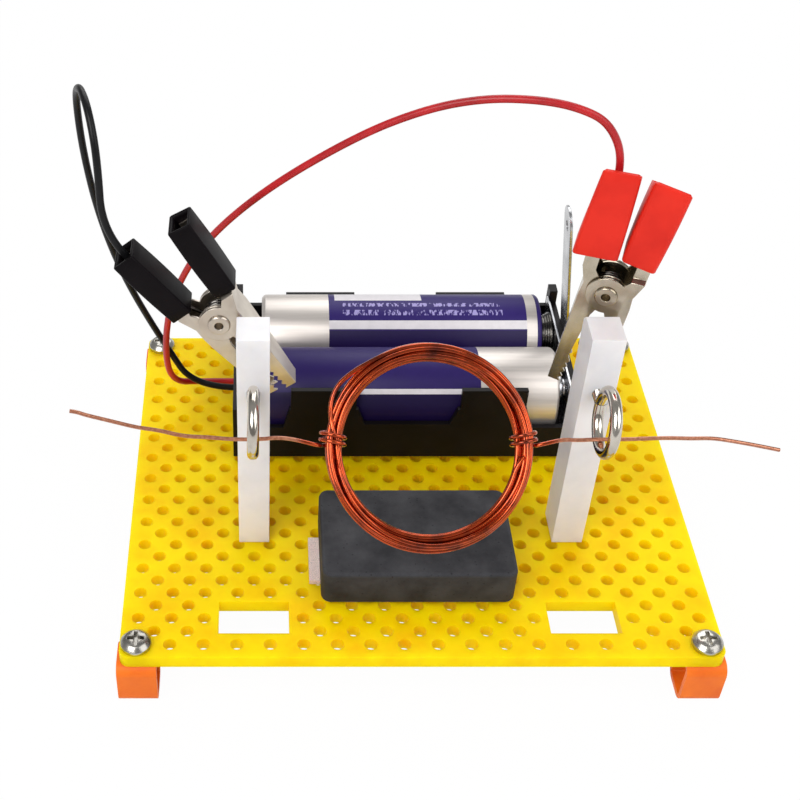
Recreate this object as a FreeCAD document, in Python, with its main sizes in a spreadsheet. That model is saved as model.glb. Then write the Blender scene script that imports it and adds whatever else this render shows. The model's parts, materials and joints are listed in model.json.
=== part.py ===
import FreeCAD, Part
import math
import os
import re
import Sketcher

from FreeCAD import Placement, Rotation, Vector

# Demonstration electric motor: a coil of enamelled wire turns between two screw
# eyes, above a magnet, on a perforated base with a two-cell battery holder.
# Frame: +X to the right along the coil's axle, +Y to the back, +Z up, with the
# origin under the middle of the base, on the surface that the feet stand on.

doc = FreeCAD.newDocument("DemonstrationMotor")

# ---------------------------------------------------------------- driving sizes
SIZES = [
    # base plate
    ("plate_length", 90.0, "base plate along X"),
    ("plate_width", 75.0, "base plate along Y"),
    ("plate_thickness", 2.2, "base plate"),
    ("plate_corner_radius", 1.5, "rounded corners of the plate"),
    ("hole_pitch", 5.0, "pitch of the holes in a row, two rows make one pitch"),
    ("screw_inset", 2.5, "corner holes and their screws from both edges"),
    ("slot_length", 10.7, "rectangular slot along X"),
    ("slot_width", 6.1, "rectangular slot along Y"),
    ("slot_offset", 25.0, "slot centres from the middle, along X"),
    ("slot_row", 29.9, "slot centres in front of the middle"),
    ("slot_border", 0.8, "border of a slot that has no holes"),
    # feet, screws and nuts
    ("foot_height", 8.0, "foot tube, floor to plate"),
    ("foot_width", 6.4, "foot tube along Y"),
    ("foot_length", 6.0, "foot tube along X"),
    ("foot_wall", 0.9, "wall of the foot tube"),
    ("foot_round", 1.8, "outer rounding of the foot tube"),
    ("foot_bore_round", 0.3, "rounding of the foot tube's bore, stretched by its nut"),
    ("screw_diameter", 1.9, "threads of all screws, over the crests"),
    ("screw_clearance", 0.1, "hole over screw, in diameter"),
    ("screw_length", 6.0, "corner screw under its head"),
    ("head_diameter", 4.6, "pan head"),
    ("head_height", 1.5, "pan head"),
    ("recess_length", 2.6, "cross recess, across"),
    ("recess_width", 0.6, "cross recess, one arm"),
    ("recess_depth", 0.8, "cross recess"),
    ("nut_flats", 4.0, "hexagon nut across flats"),
    ("nut_thickness", 1.6, "hexagon nut"),
    # magnet
    ("magnet_length", 29.5, "ferrite block along X"),
    ("magnet_width", 18.1, "ferrite block along Y"),
    ("magnet_height", 6.4, "ferrite block"),
    ("magnet_corner", 1.5, "rounded upright corners"),
    ("magnet_row", 18.75, "block centre in front of the middle"),
    ("tape_thickness", 0.8, "double-sided foam tape"),
    ("tape_width", 9.0, "strip of tape along Y"),
    ("magnet_tape_length", 31.4, "strip under the block, longer than it"),
    ("magnet_tape_shift", 0.7, "strip shifted to the left"),
    ("holder_tape_length", 50.0, "strip under the battery holder"),
    # posts
    ("post_spacing", 50.0, "between post centres"),
    ("post_width", 4.8, "post along X"),
    ("post_depth", 6.4, "post along Y"),
    ("post_height", 41.5, "post above the plate"),
    ("post_row", 11.3, "post centres in front of the middle"),
    ("post_screw_row", 12.5, "plate holes under the posts, in front of the middle"),
    ("post_screw_length", 10.0, "screw under its head, through the plate"),
    ("post_chamfer", 1.0, "top edge at the back of a post"),
    # screw eyes
    ("eye_height", 31.6, "eye centre above the plate"),
    ("eye_row", 20.7, "eye centre and axle in front of the middle"),
    ("eye_diameter", 10.6, "eye outside"),
    ("eye_wire", 1.7, "wire of the eye"),
    ("eye_opening", 22.0, "open part of the ring, in degrees"),
    ("shank_diameter", 1.8, "straight stem of the eye"),
    ("shank_clearance", 0.1, "hole over stem, in diameter"),
    ("shank_tail", 7.0, "stem behind the back of its post"),
    ("shank_point", 1.6, "pointed end of the stem"),
    ("eye_roll", 4.0, "right eye turned on its own stem, in degrees"),
    # armature
    ("coil_diameter", 30.2, "coil outside"),
    ("bundle_diameter", 3.0, "bundle of turns"),
    ("bundle_groove", 0.3, "depth of the grooves between strands"),
    ("coil_wire", 0.65, "enamelled wire"),
    ("coil_drop", 1.25, "coil centre off the axle, in the coil's plane"),
    ("coil_lean", 46.0, "coil's normal from upright, in degrees"),
    ("bearing_gap", 0.05, "wire over the bottom of the eyes"),
    ("wrap_gap", 0.05, "binding turns over the bundle"),
    ("axle_reach", 50.8, "wire ends from the middle"),
    ("axle_straight", 28.0, "first bend of the axle from the middle"),
    ("axle_bend", 0.1, "share of a run that a bend of the axle takes"),
    # battery holder
    ("holder_shift", 0.4, "holder centre to the right of the middle"),
    ("holder_row", 20.1, "holder centre behind the middle"),
    ("end_wall", 1.4, "end walls of the holder"),
    ("side_wall", 0.9, "front and back walls of the holder"),
    ("holder_floor", 1.0, "floor of the holder"),
    ("end_height", 10.6, "end walls over the tape"),
    ("front_clamp_height", 14.7, "raised front clamps over the tape"),
    ("back_clamp_height", 11.4, "raised back clamps over the tape"),
    ("low_height", 6.6, "low parts of the front wall over the tape"),
    ("recess_height", 7.4, "middle recess of the front wall over the tape"),
    ("back_height", 9.0, "low parts of the back wall over the tape"),
    ("lug_height", 13.2, "corner lugs over the tape"),
    ("lug_width", 2.2, "corner lugs along Y"),
    ("front_clamp_inner", 8.6, "front clamps start, from the holder's centre"),
    ("front_clamp_outer", 19.4, "front clamps end"),
    ("back_clamp_inner", 7.4, "back clamps start, from the holder's centre"),
    ("back_clamp_outer", 19.8, "back clamps end"),
    ("rib_width", 1.8, "rib between the cells"),
    ("rib_height", 2.6, "rib above the floor"),
    ("lead_clearance", 0.2, "lead hole over lead, in diameter"),
    # cells
    ("cell_diameter", 14.2, "cell"),
    ("cell_length", 48.8, "cell without its button"),
    ("cell_shoulder", 0.8, "bevelled edges of a cell"),
    ("button_diameter", 5.5, "positive button"),
    ("button_height", 1.4, "positive button"),
    ("cell_gap", 0.6, "between the two cells"),
    ("cell_side_gap", 0.2, "between a cell and the side wall"),
    ("cell_floor_gap", 0.05, "under a cell"),
    # contacts
    ("contact_thickness", 0.4, "contact plates"),
    ("contact_margin", 1.0, "contact plates inside the walls and past the middle"),
    ("contact_height", 11.0, "contact plates above the floor"),
    ("rear_dimple", 1.6, "contact dimple that meets the rear button"),
    ("front_dimple", 0.5, "contact dimple that meets the front button"),
    ("dimple_diameter", 3.6, "contact dimples"),
    ("spring_wide", 8.0, "contact spring at its plate"),
    ("spring_narrow", 6.0, "contact spring at its cell"),
    ("spring_wire", 0.6, "wire of the contact springs"),
    ("front_spring_turns", 5.0, "turns of the spring behind the front cell"),
    ("rear_spring_turns", 4.0, "turns of the spring behind the rear cell"),
    # tall contact strip on the holder's right end
    ("strip_width", 5.6, "strip along Y"),
    ("strip_thickness", 0.5, "strip"),
    ("strip_back", 5.9, "strip centre behind the holder's centre"),
    ("strip_bottom", 4.0, "foot of the strip over the tape"),
    ("strip_top", 36.0, "top of the strip over the tape"),
    ("strip_lean", 6.4, "upper part leans in, in degrees"),
    ("strip_hole", 1.8, "hole near the top of the strip"),
    ("strip_hole_drop", 3.5, "hole centre below the top of the strip"),
    # clips
    ("clip_sheet", 0.4, "sheet of the clip levers"),
    ("clip_width", 5.4, "outer lever at the pivot, along the rivet"),
    ("clip_play", 0.15, "between the inner and the outer lever"),
    ("left_jaw_length", 16.4, "pivot to jaw tip, left clip"),
    ("right_jaw_length", 19.0, "pivot to jaw tip, right clip"),
    ("jaw_tip_width", 3.0, "outer lever at its jaw tip"),
    ("jaw_tip_depth", 1.9, "back of the jaw at its tip, from the bite line"),
    ("jaw_edge_gap", 0.15, "jaw edge from the bite line"),
    ("jaw_relief", 0.6, "hollow of the jaw edge behind the teeth"),
    ("tooth_pitch", 1.1, "teeth of the jaws"),
    ("tooth_depth", 0.5, "teeth of the jaws"),
    ("ear_radius", 3.0, "round ears at the pivot"),
    ("back_reach", 3.7, "back of a lever from the pivot"),
    ("shoulder_reach", 4.9, "back of a handle at its shoulder"),
    ("shoulder_rise", 3.2, "shoulder of a handle from the pivot"),
    ("handle_rise", 15.0, "end of a handle from the pivot"),
    ("handle_reach", 6.3, "back of a handle at its end"),
    ("handle_depth", 2.0, "handle channel"),
    ("handle_width", 3.7, "handle channel along the rivet"),
    ("grip_clearance", 0.15, "jaw edge from the gripped stem"),
    ("left_grip", 8.8, "pivot to the gripped stem, left clip"),
    ("right_grip", 11.8, "pivot to the gripped stem, right clip"),
    ("left_clip_lean", 34.5, "left clip from upright, top to the left, in degrees"),
    ("right_clip_lean", 7.5, "right clip from upright, top to the right, in degrees"),
    ("right_clip_turn", 19.0, "right clip turned to face the left, in degrees"),
    ("left_clip_row", 4.9, "left clip in front of the middle"),
    ("right_clip_row", 3.6, "right clip in front of the middle"),
    ("rivet_diameter", 2.0, "hollow rivet"),
    ("rivet_bore", 1.3, "hole through the rivet"),
    ("rivet_clearance", 0.1, "lever hole over rivet, in diameter"),
    ("flange_diameter", 3.4, "rolled flanges of the rivet"),
    ("flange_height", 0.35, "rolled flanges of the rivet"),
    ("flange_gap", 0.05, "flange off the outer lever"),
    ("clip_spring_diameter", 4.2, "coil of the clip's spring"),
    ("clip_spring_wire", 0.6, "wire of the clip's spring"),
    ("clip_spring_turns", 4.0, "turns of the clip's spring"),
    # sleeves
    ("black_sleeve_start", 3.7, "black sleeve from the pivot, along the clip"),
    ("black_sleeve_length", 12.6, "black sleeve"),
    ("black_sleeve_depth", 3.5, "black sleeve across the handle"),
    ("black_sleeve_width", 4.8, "black sleeve along the rivet"),
    ("red_sleeve_start", 4.2, "red sleeve from the pivot, along the clip"),
    ("red_sleeve_length", 14.0, "red sleeve"),
    ("red_sleeve_depth", 5.0, "red sleeve across the handle, at the pivot end"),
    ("red_sleeve_width", 5.4, "red sleeve along the rivet, at the pivot end"),
    ("red_sleeve_top_depth", 4.8, "red sleeve across the handle, at the far end"),
    ("red_sleeve_top_width", 4.8, "red sleeve along the rivet, at the far end"),
    ("sleeve_fit", 0.1, "sleeve bore over the handle's width"),
    ("sleeve_room", 0.5, "sleeve bore over the handle's depth"),
    # leads
    ("lead_diameter", 1.1, "insulated leads"),
    ("lead_reach", 1.6, "straight end of a lead out of its sleeve"),
    ("lead_gap", 0.2, "end of a lead off the handle or plate it is soldered to"),
]

sheet = doc.addObject("Spreadsheet::Sheet", "Sizes")
for row, (alias, value, meaning) in enumerate(SIZES, start=1):
    sheet.set("A%d" % row, alias.replace("_", " "))
    sheet.set("B%d" % row, str(value))
    sheet.setAlias("B%d" % row, alias)
    sheet.set("C%d" % row, meaning)
doc.recompute()
ALIASES = {alias for alias, _, _ in SIZES}

# sizes that several sub-parts share, written as expressions of the sheet
PLATE_TOP = "(foot_height + plate_thickness)"
TAPE_TOP = "(foot_height + plate_thickness + tape_thickness)"
SCREW_HOLE = "(screw_diameter + screw_clearance)"
HOLES_ACROSS = "(plate_length - 2 * screw_inset)"
HOLES_ALONG = "(plate_width - 2 * screw_inset)"
HOLE_COLUMNS = "(round(%s / hole_pitch) + 1)" % HOLES_ACROSS
HOLE_ROWS = "(round(%s / hole_pitch) + 1)" % HOLES_ALONG
EYE_Z = "(foot_height + plate_thickness + eye_height)"
AXLE_DROP = "(eye_diameter / 2 - eye_wire - coil_wire / 2 - bearing_gap)"
AXLE_Z = "(%s - %s)" % (EYE_Z, AXLE_DROP)
BUNDLE_CIRCLE = "(coil_diameter / 2 - bundle_diameter / 2)"
HOLDER_INSIDE = "(cell_length + button_height + 5.0)"
HOLDER_LENGTH = "(cell_length + button_height + 5.0 + 2 * end_wall)"
HOLDER_WIDTH = "(2 * cell_diameter + cell_gap + 2 * cell_side_gap + 2 * side_wall)"
CELL_OFFSET = "(cell_diameter / 2 + cell_gap / 2)"
CELL_Z = "(%s + holder_floor + cell_floor_gap + cell_diameter / 2)" % TAPE_TOP


# --------------------------------------------------------------- small helpers
def linked(text):
    """Point every size name of an expression at the sheet."""
    return re.sub(
        r"[a-z]+(?:_[a-z]+)+",
        lambda found: "Sizes." + found.group(0) if found.group(0) in ALIASES else found.group(0),
        str(text),
    )


def number(text):
    """The present value of an expression, for what has no property to bind."""
    return float(sheet.evalExpression(linked(text)))


def bind(thing, **properties):
    """Bind properties of an object to expressions; a double underscore is a dot."""
    for key, text in properties.items():
        thing.setExpression(key.replace("__", "."), linked(text))
    return thing


def put(thing, x="0", y="0", z="0", yaw="0", pitch="0", roll="0"):
    """Bind an object's Placement: a place and turns about Z, Y and X, in degrees."""
    text = "placement(vector(%s; %s; %s); rotation(%s; %s; %s))" % (x, y, z, yaw, pitch, roll)
    thing.setExpression("Placement", linked(text))
    return thing


def new_body(label):
    body = doc.addObject("PartDesign::Body", label)
    body.Label = label
    return body


def new_sketch(body, role, name):
    """A sketch on one of the body's own origin planes."""
    sketch = body.newObject("Sketcher::SketchObject", name)
    planes = [plane for plane in body.Origin.OriginFeatures if plane.Role == role]
    sketch.AttachmentSupport = [(planes[0], "")]
    sketch.MapMode = "FlatFace"
    return sketch


def add_polygon(sketch, points):
    """A closed outline whose corners are bound to pairs of expressions."""
    first = sketch.GeometryCount
    count = len(points)
    values = [Vector(number(across), number(along), 0) for across, along in points]
    for index in range(count):
        sketch.addGeometry(Part.LineSegment(values[index], values[(index + 1) % count]))
    for index in range(count):
        following = first + (index + 1) % count
        sketch.addConstraint(Sketcher.Constraint("Coincident", first + index, 2, following, 1))
    for index, (across, along) in enumerate(points):
        for kind, text in (("DistanceX", across), ("DistanceY", along)):
            held = Sketcher.Constraint(kind, -1, 1, first + index, 1, number(text))
            sketch.setExpression("Constraints[%d]" % sketch.addConstraint(held), linked(text))


def add_rectangle(sketch, across, along, length, width):
    """A rectangle about a centre, all four given as expressions."""
    left = "(%s) - (%s) / 2" % (across, length)
    right = "(%s) + (%s) / 2" % (across, length)
    low = "(%s) - (%s) / 2" % (along, width)
    high = "(%s) + (%s) / 2" % (along, width)
    add_polygon(sketch, [(left, low), (right, low), (right, high), (left, high)])


def add_circle(sketch, across, along, diameter):
    centre = Vector(number(across), number(along), 0)
    index = sketch.addGeometry(Part.Circle(centre, Vector(0, 0, 1), number(diameter) / 2))
    for kind, text in (("DistanceX", across), ("DistanceY", along)):
        held = Sketcher.Constraint(kind, -1, 1, index, 3, number(text))
        sketch.setExpression("Constraints[%d]" % sketch.addConstraint(held), linked(text))
    held = Sketcher.Constraint("Diameter", index, number(diameter))
    sketch.setExpression("Constraints[%d]" % sketch.addConstraint(held), linked(diameter))


def pad(body, sketch, length, midplane=False, upside_down=False):
    feature = body.newObject("PartDesign::Pad", "Pad")
    feature.Profile = sketch
    feature.SideType = "Symmetric" if midplane else "One side"
    feature.Reversed = upside_down
    bind(feature, Length=length)
    doc.recompute()
    return feature


def pocket(body, sketch, length, midplane=False, reverse=False):
    """Cut a pocket and make sure that it took something away."""
    doc.recompute()
    before = body.Shape.Volume
    feature = body.newObject("PartDesign::Pocket", "Pocket")
    feature.Profile = sketch
    feature.SideType = "Symmetric" if midplane else "One side"
    feature.Reversed = reverse
    bind(feature, Length=length)
    doc.recompute()
    if not body.Shape.Volume < before:
        raise RuntimeError("%s: a pocket cuts nothing" % body.Label)
    return feature


def revolve(body, sketch, axis_name):
    """Turn a sketch fully round its own horizontal or vertical axis."""
    feature = body.newObject("PartDesign::Revolution", "Revolution")
    feature.Profile = sketch
    feature.ReferenceAxis = (sketch, [axis_name])
    feature.Angle = 360
    doc.recompute()
    return feature


def dress(body, kind, size, direction, chosen=lambda middle: True):
    """Fillet or chamfer the straight edges that run along a direction."""
    doc.recompute()
    base = body.Tip
    names = []
    for index, edge in enumerate(base.Shape.Edges, start=1):
        if isinstance(edge.Curve, Part.Line):
            parallel = abs(edge.Curve.Direction.dot(direction)) > 0.999
            if parallel and chosen(edge.CenterOfMass):
                names.append("Edge%d" % index)
    feature = body.newObject("PartDesign::" + kind, kind)
    feature.Base = (base, names)
    bind(feature, **{"Radius" if kind == "Fillet" else "Size": size})
    doc.recompute()
    return feature


def boolean(kind, label, base, tool):
    thing = doc.addObject("Part::" + kind, label)
    thing.Label = label
    thing.Base = base
    thing.Tool = tool
    doc.recompute()
    return thing


def fuse(label, pieces):
    thing = doc.addObject("Part::MultiFuse", label)
    thing.Label = label
    thing.Shapes = pieces
    doc.recompute()
    return thing


UP = Vector(0, 0, 1)
ALONG = Vector(1, 0, 0)
parts = []


def keep(thing):
    """Note a finished sub-part for the checks and the export."""
    parts.append(thing)
    return thing


# ------------------------------------------------------------ base, feet, screws
def add_lattice(body, across, along, columns, rows):
    """Rows of through holes, spread evenly over a length across and along the plate."""
    corner = new_sketch(body, "XY_Plane", "CornerHole")
    add_circle(corner, "-%s / 2" % across, "-%s / 2" % along, SCREW_HOLE)
    hole = pocket(body, corner, "plate_thickness", reverse=True)
    axes = {axis.Role: axis for axis in body.Origin.OriginFeatures}
    lattice = body.newObject("PartDesign::LinearPattern", "Lattice")
    lattice.Originals = [hole]
    lattice.Direction = (axes["X_Axis"], [""])
    lattice.Direction2 = (axes["Y_Axis"], [""])
    bind(lattice, Length=across, Occurrences=columns, Length2=along, Occurrences2=rows)
    body.Tip = lattice
    doc.recompute()


def make_base_plate():
    """The plate, with a lattice of holes that leaves a plain border round each slot."""
    body = new_body("base_plate")
    outline = new_sketch(body, "XY_Plane", "PlateOutline")
    add_rectangle(outline, "0", "0", "plate_length", "plate_width")
    pad(body, outline, "plate_thickness")
    dress(body, "Fillet", "plate_corner_radius", UP)
    post_holes = new_sketch(body, "XY_Plane", "PostHoles")
    for side in (-1, 1):
        add_circle(post_holes, "%d * post_spacing / 2" % side, "-post_screw_row", SCREW_HOLE)
    pocket(body, post_holes, "plate_thickness", reverse=True)
    add_lattice(body, HOLES_ACROSS, HOLES_ALONG, HOLE_COLUMNS, HOLE_ROWS)
    inner_across = "(%s * (1 - 1 / (%s - 1)))" % (HOLES_ACROSS, HOLE_COLUMNS)
    inner_along = "(%s * (1 - 1 / (%s - 1)))" % (HOLES_ALONG, HOLE_ROWS)
    add_lattice(body, inner_across, inner_along, HOLE_COLUMNS + " - 1", HOLE_ROWS + " - 1")
    borders = new_sketch(body, "XY_Plane", "SlotBorders")
    slots = new_sketch(body, "XY_Plane", "PlateSlots")
    for side in (-1, 1):
        middle = "%d * slot_offset" % side
        border_length = "slot_length + 2 * slot_border"
        border_width = "slot_width + 2 * slot_border"
        add_rectangle(borders, middle, "-slot_row", border_length, border_width)
        add_rectangle(slots, middle, "-slot_row", "slot_length", "slot_width")
    pad(body, borders, "plate_thickness")
    pocket(body, slots, "plate_thickness", reverse=True)
    keep(put(body, z="foot_height"))


def make_foot(label, side, end):
    """A short piece of soft tube, lying along X, that the corner screw holds."""
    body = new_body(label)
    outer = new_sketch(body, "YZ_Plane", "TubeOutline")
    add_rectangle(outer, "0", "foot_height / 2", "foot_width", "foot_height")
    pad(body, outer, "foot_length", midplane=True)
    dress(body, "Fillet", "foot_round", ALONG)
    bore = new_sketch(body, "YZ_Plane", "TubeBore")
    add_rectangle(bore, "0", "foot_height / 2", "foot_width - 2 * foot_wall",
                  "foot_height - 2 * foot_wall")
    pocket(body, bore, "foot_length + 1", midplane=True)
    inside = number("foot_width / 2 - foot_wall") + 0.01
    dress(body, "Fillet", "foot_bore_round", ALONG,
          lambda middle: abs(middle.y) < inside and abs(middle.z - number("foot_height / 2"))
          < number("foot_height / 2 - foot_wall") + 0.01)
    hole = new_sketch(body, "XY_Plane", "ScrewHole")
    hole.setExpression("AttachmentOffset.Base.z", linked("foot_height / 2"))
    add_circle(hole, "0", "0", SCREW_HOLE)
    pocket(body, hole, "foot_height", reverse=True)
    keep(put(body, x="%d * (plate_length / 2 - screw_inset)" % side,
             y="%d * (plate_width / 2 - screw_inset)" % end))


def make_screw(label, length, x, y, z, upside_down=False):
    """A pan-head screw with a cross recess; its head stands on the origin plane."""
    body = new_body(label)
    profile = new_sketch(body, "XZ_Plane", "HeadAndShank")
    add_polygon(profile, [
        ("0", "-(%s)" % length),
        ("screw_diameter / 2 - 0.3", "-(%s)" % length),
        ("screw_diameter / 2", "0.4 - (%s)" % length),
        ("screw_diameter / 2", "0"),
        ("head_diameter / 2", "0"),
        ("head_diameter / 2", "head_height * 0.45"),
        ("head_diameter * 0.36", "head_height * 0.9"),
        ("head_diameter * 0.2", "head_height"),
        ("0", "head_height"),
    ])
    revolve(body, profile, "V_Axis")
    recess = new_sketch(body, "XZ_Plane", "CrossRecessAlong")
    add_rectangle(recess, "0", "head_height - recess_depth / 2 + 0.5", "recess_length",
                  "recess_depth + 1")
    pocket(body, recess, "recess_width", midplane=True)
    recess = new_sketch(body, "YZ_Plane", "CrossRecessAcross")
    add_rectangle(recess, "0", "head_height - recess_depth / 2 + 0.5", "recess_length",
                  "recess_depth + 1")
    pocket(body, recess, "recess_width", midplane=True)
    keep(put(body, x=x, y=y, z=z, roll="180" if upside_down else "0"))


def make_nut(label, x, y, z):
    """A hexagon nut whose top face is at z."""
    body = new_body(label)
    outline = new_sketch(body, "XY_Plane", "NutOutline")
    corner = "nut_flats / 2 / cos(30)"
    add_polygon(outline, [
        ("%s * cos(%d)" % (corner, angle), "%s * sin(%d)" % (corner, angle))
        for angle in range(0, 360, 60)
    ])
    pad(body, outline, "nut_thickness", upside_down=True)
    bore = new_sketch(body, "XY_Plane", "NutBore")
    add_circle(bore, "0", "0", SCREW_HOLE)
    pocket(body, bore, "nut_thickness")
    keep(put(body, x=x, y=y, z=z))


CORNERS = [("front_left", -1, -1), ("front_right", 1, -1), ("back_left", -1, 1), ("back_right", 1, 1)]


def make_base():
    make_base_plate()
    for place, side, end in CORNERS:
        across = "%d * (plate_length / 2 - screw_inset)" % side
        along = "%d * (plate_width / 2 - screw_inset)" % end
        make_foot("foot_" + place, side, end)
        make_screw("corner_screw_" + place, "screw_length", across, along, PLATE_TOP)
        make_nut("corner_nut_" + place, across, along, "foot_height - foot_wall")


# ------------------------------------------------------------------ magnet, tape
def make_block(label, length, width, height, x, y, z):
    block = doc.addObject("Part::Box", label)
    block.Label = label
    bind(block, Length=length, Width=width, Height=height)
    return put(block, x="%s - (%s) / 2" % (x, length), y="%s - (%s) / 2" % (y, width), z=z)


def make_magnet():
    body = new_body("magnet")
    outline = new_sketch(body, "XY_Plane", "MagnetOutline")
    add_rectangle(outline, "0", "0", "magnet_length", "magnet_width")
    pad(body, outline, "magnet_height")
    dress(body, "Fillet", "magnet_corner", UP)
    keep(put(body, y="-magnet_row", z=TAPE_TOP))
    keep(make_block("magnet_tape", "magnet_tape_length", "tape_width", "tape_thickness",
                    "-magnet_tape_shift", "-magnet_row", PLATE_TOP))


# ---------------------------------------------------------------- posts and eyes
def make_post(label, side):
    body = new_body(label)
    outline = new_sketch(body, "XY_Plane", "PostOutline")
    add_rectangle(outline, "0", "0", "post_width", "post_depth")
    pad(body, outline, "post_height")
    top = number("post_height")
    dress(body, "Chamfer", "post_chamfer", ALONG,
          lambda middle: middle.y > 0 and abs(middle.z - top) < 0.01)
    cross_hole = new_sketch(body, "XZ_Plane", "StemHole")
    add_circle(cross_hole, "0", "eye_height", "shank_diameter + shank_clearance")
    pocket(body, cross_hole, "post_depth + 1", midplane=True)
    pilot = new_sketch(body, "XY_Plane", "PilotHole")
    add_circle(pilot, "0", "post_row - post_screw_row", SCREW_HOLE)
    pocket(body, pilot, "post_screw_length - plate_thickness + 0.5", reverse=True)
    across = "%d * post_spacing / 2" % side
    keep(put(body, x=across, y="-post_row", z=PLATE_TOP))
    make_screw(label.replace("_post", "_post_screw"), "post_screw_length", across,
               "-post_screw_row", "foot_height", upside_down=True)


def make_eye(label, side, roll):
    """A screw eye: an open ring upright across the axle, and a stem to the back."""
    mean = "(eye_diameter / 2 - eye_wire / 2)"
    ring = doc.addObject("Part::Torus", label + "_ring")
    bind(ring, Radius1=mean, Radius2="eye_wire / 2", Angle3="360 - eye_opening")
    put(ring, yaw="90", pitch="0", roll="90")
    stem = doc.addObject("Part::Cylinder", label + "_stem")
    reach = "(eye_row - post_row + post_depth / 2 + shank_tail)"
    bind(stem, Radius="shank_diameter / 2", Height="%s - shank_point - %s" % (reach, mean))
    put(stem, y=mean, roll="-90")
    point = doc.addObject("Part::Cone", label + "_point")
    bind(point, Radius1="shank_diameter / 2", Radius2="shank_diameter / 8",
         Height="shank_point")
    put(point, y="%s - shank_point" % reach, roll="-90")
    eye = fuse(label, [ring, stem, point])
    keep(put(eye, x="%d * post_spacing / 2" % side, y="-eye_row", z=EYE_Z, pitch=roll))


def make_posts():
    for label, side in (("left_post", -1), ("right_post", 1)):
        make_post(label, side)
    make_eye("left_eye", -1, "0")
    make_eye("right_eye", 1, "eye_roll")


# ---------------------------------------------------------------------- armature
def tube_shape(points, diameter, name, share):
    """A round tube along straight runs joined by tangent arcs.

    Each arc takes the same share of the shorter of its two runs.
    """
    edges = []
    start = points[0]
    radii = []
    for before, corner, after in zip(points, points[1:], points[2:]):
        arriving = corner - before
        leaving = after - corner
        shorter = min(arriving.Length, leaving.Length)
        turn = arriving.getAngle(leaving)
        setback = share * shorter
        radii.append(setback / math.tan(turn / 2))
        arriving.normalize()
        leaving.normalize()
        first = corner - arriving * setback
        last = corner + leaving * setback
        inward = leaving - arriving
        inward.normalize()
        bow = radii[-1] / math.cos(turn / 2) - radii[-1]
        edges.append(Part.LineSegment(start, first).toShape())
        edges.append(Part.Arc(first, corner + inward * bow, last).toShape())
        start = last
    edges.append(Part.LineSegment(start, points[-1]).toShape())
    path = Part.Wire(edges)
    heading = points[1] - points[0]
    section = Part.Wire([Part.Circle(points[0], heading, diameter / 2).toShape()])
    tube = path.makePipeShell([section], True, False)
    expected = math.pi * diameter ** 2 / 4 * path.Length
    if abs(tube.Volume / expected - 1) > 0.01:
        raise RuntimeError("%s: the tube's volume is off" % name)
    print("%s: length %.1f mm, radii %s" % (name, path.Length,
                                           " ".join("%.1f" % radius for radius in radii)))
    return tube


def keep_tube(label, points, diameter, share=0.45):
    tube = doc.addObject("Part::Feature", label)
    tube.Label = label
    tube.Shape = tube_shape(points, diameter, label, share)
    tube.Placement = Placement()
    return tube


def make_winding():
    """The bundle of turns: a ring whose section shows the outer strands."""
    body = new_body("coil_winding")
    section = new_sketch(body, "XZ_Plane", "BundleSection")
    strands = 6
    corners = []
    for step in range(2 * strands):
        angle = 360.0 / (2 * strands) * step
        reach = "bundle_diameter / 2" if step % 2 == 0 else "(bundle_diameter / 2 - bundle_groove)"
        corners.append(("%s + %s * cos(%g)" % (BUNDLE_CIRCLE, reach, angle),
                        "%s * sin(%g)" % (reach, angle)))
    add_polygon(section, corners)
    revolve(body, section, "V_Axis")
    keep(put(body, y="-eye_row - coil_drop * cos(coil_lean)",
             z="%s - coil_drop * sin(coil_lean)" % AXLE_Z, roll="coil_lean"))


def make_axle_end(label, side, bends):
    """One free end of the wire: two binding turns and the straight axle."""
    seat = "sqrt(%s ^ 2 - coil_drop ^ 2)" % BUNDLE_CIRCLE
    wrap = "(bundle_diameter / 2 + wrap_gap + coil_wire / 2)"
    pieces = []
    for shift in (-1, 1):
        ring = doc.addObject("Part::Torus", "%s_turn" % label)
        bind(ring, Radius1=wrap, Radius2="coil_wire / 2")
        offset = "%d * coil_wire * 0.55" % shift
        put(ring, x="%d * %s" % (side, seat), y="%s * cos(coil_lean)" % offset,
            z="%s * sin(coil_lean)" % offset, roll="coil_lean - 90")
        pieces.append(ring)
    start = number("%s + %s" % (seat, wrap))
    points = [Vector(side * start, 0, 0), Vector(side * number("axle_straight"), 0, 0)]
    for reach, rise in bends:
        points.append(Vector(side * reach, 0, rise))
    pieces.append(keep_tube(label + "_wire", points, number("coil_wire"), number("axle_bend")))
    axle_end = fuse(label, pieces)
    keep(put(axle_end, y="-eye_row", z=AXLE_Z))


def make_armature():
    make_winding()
    make_axle_end("coil_lead_left", -1, [(40.0, 2.2), (number("axle_reach"), 5.4)])
    make_axle_end("coil_lead_right", 1, [(39.0, 0.3), (number("axle_reach"), -2.1)])


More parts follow.
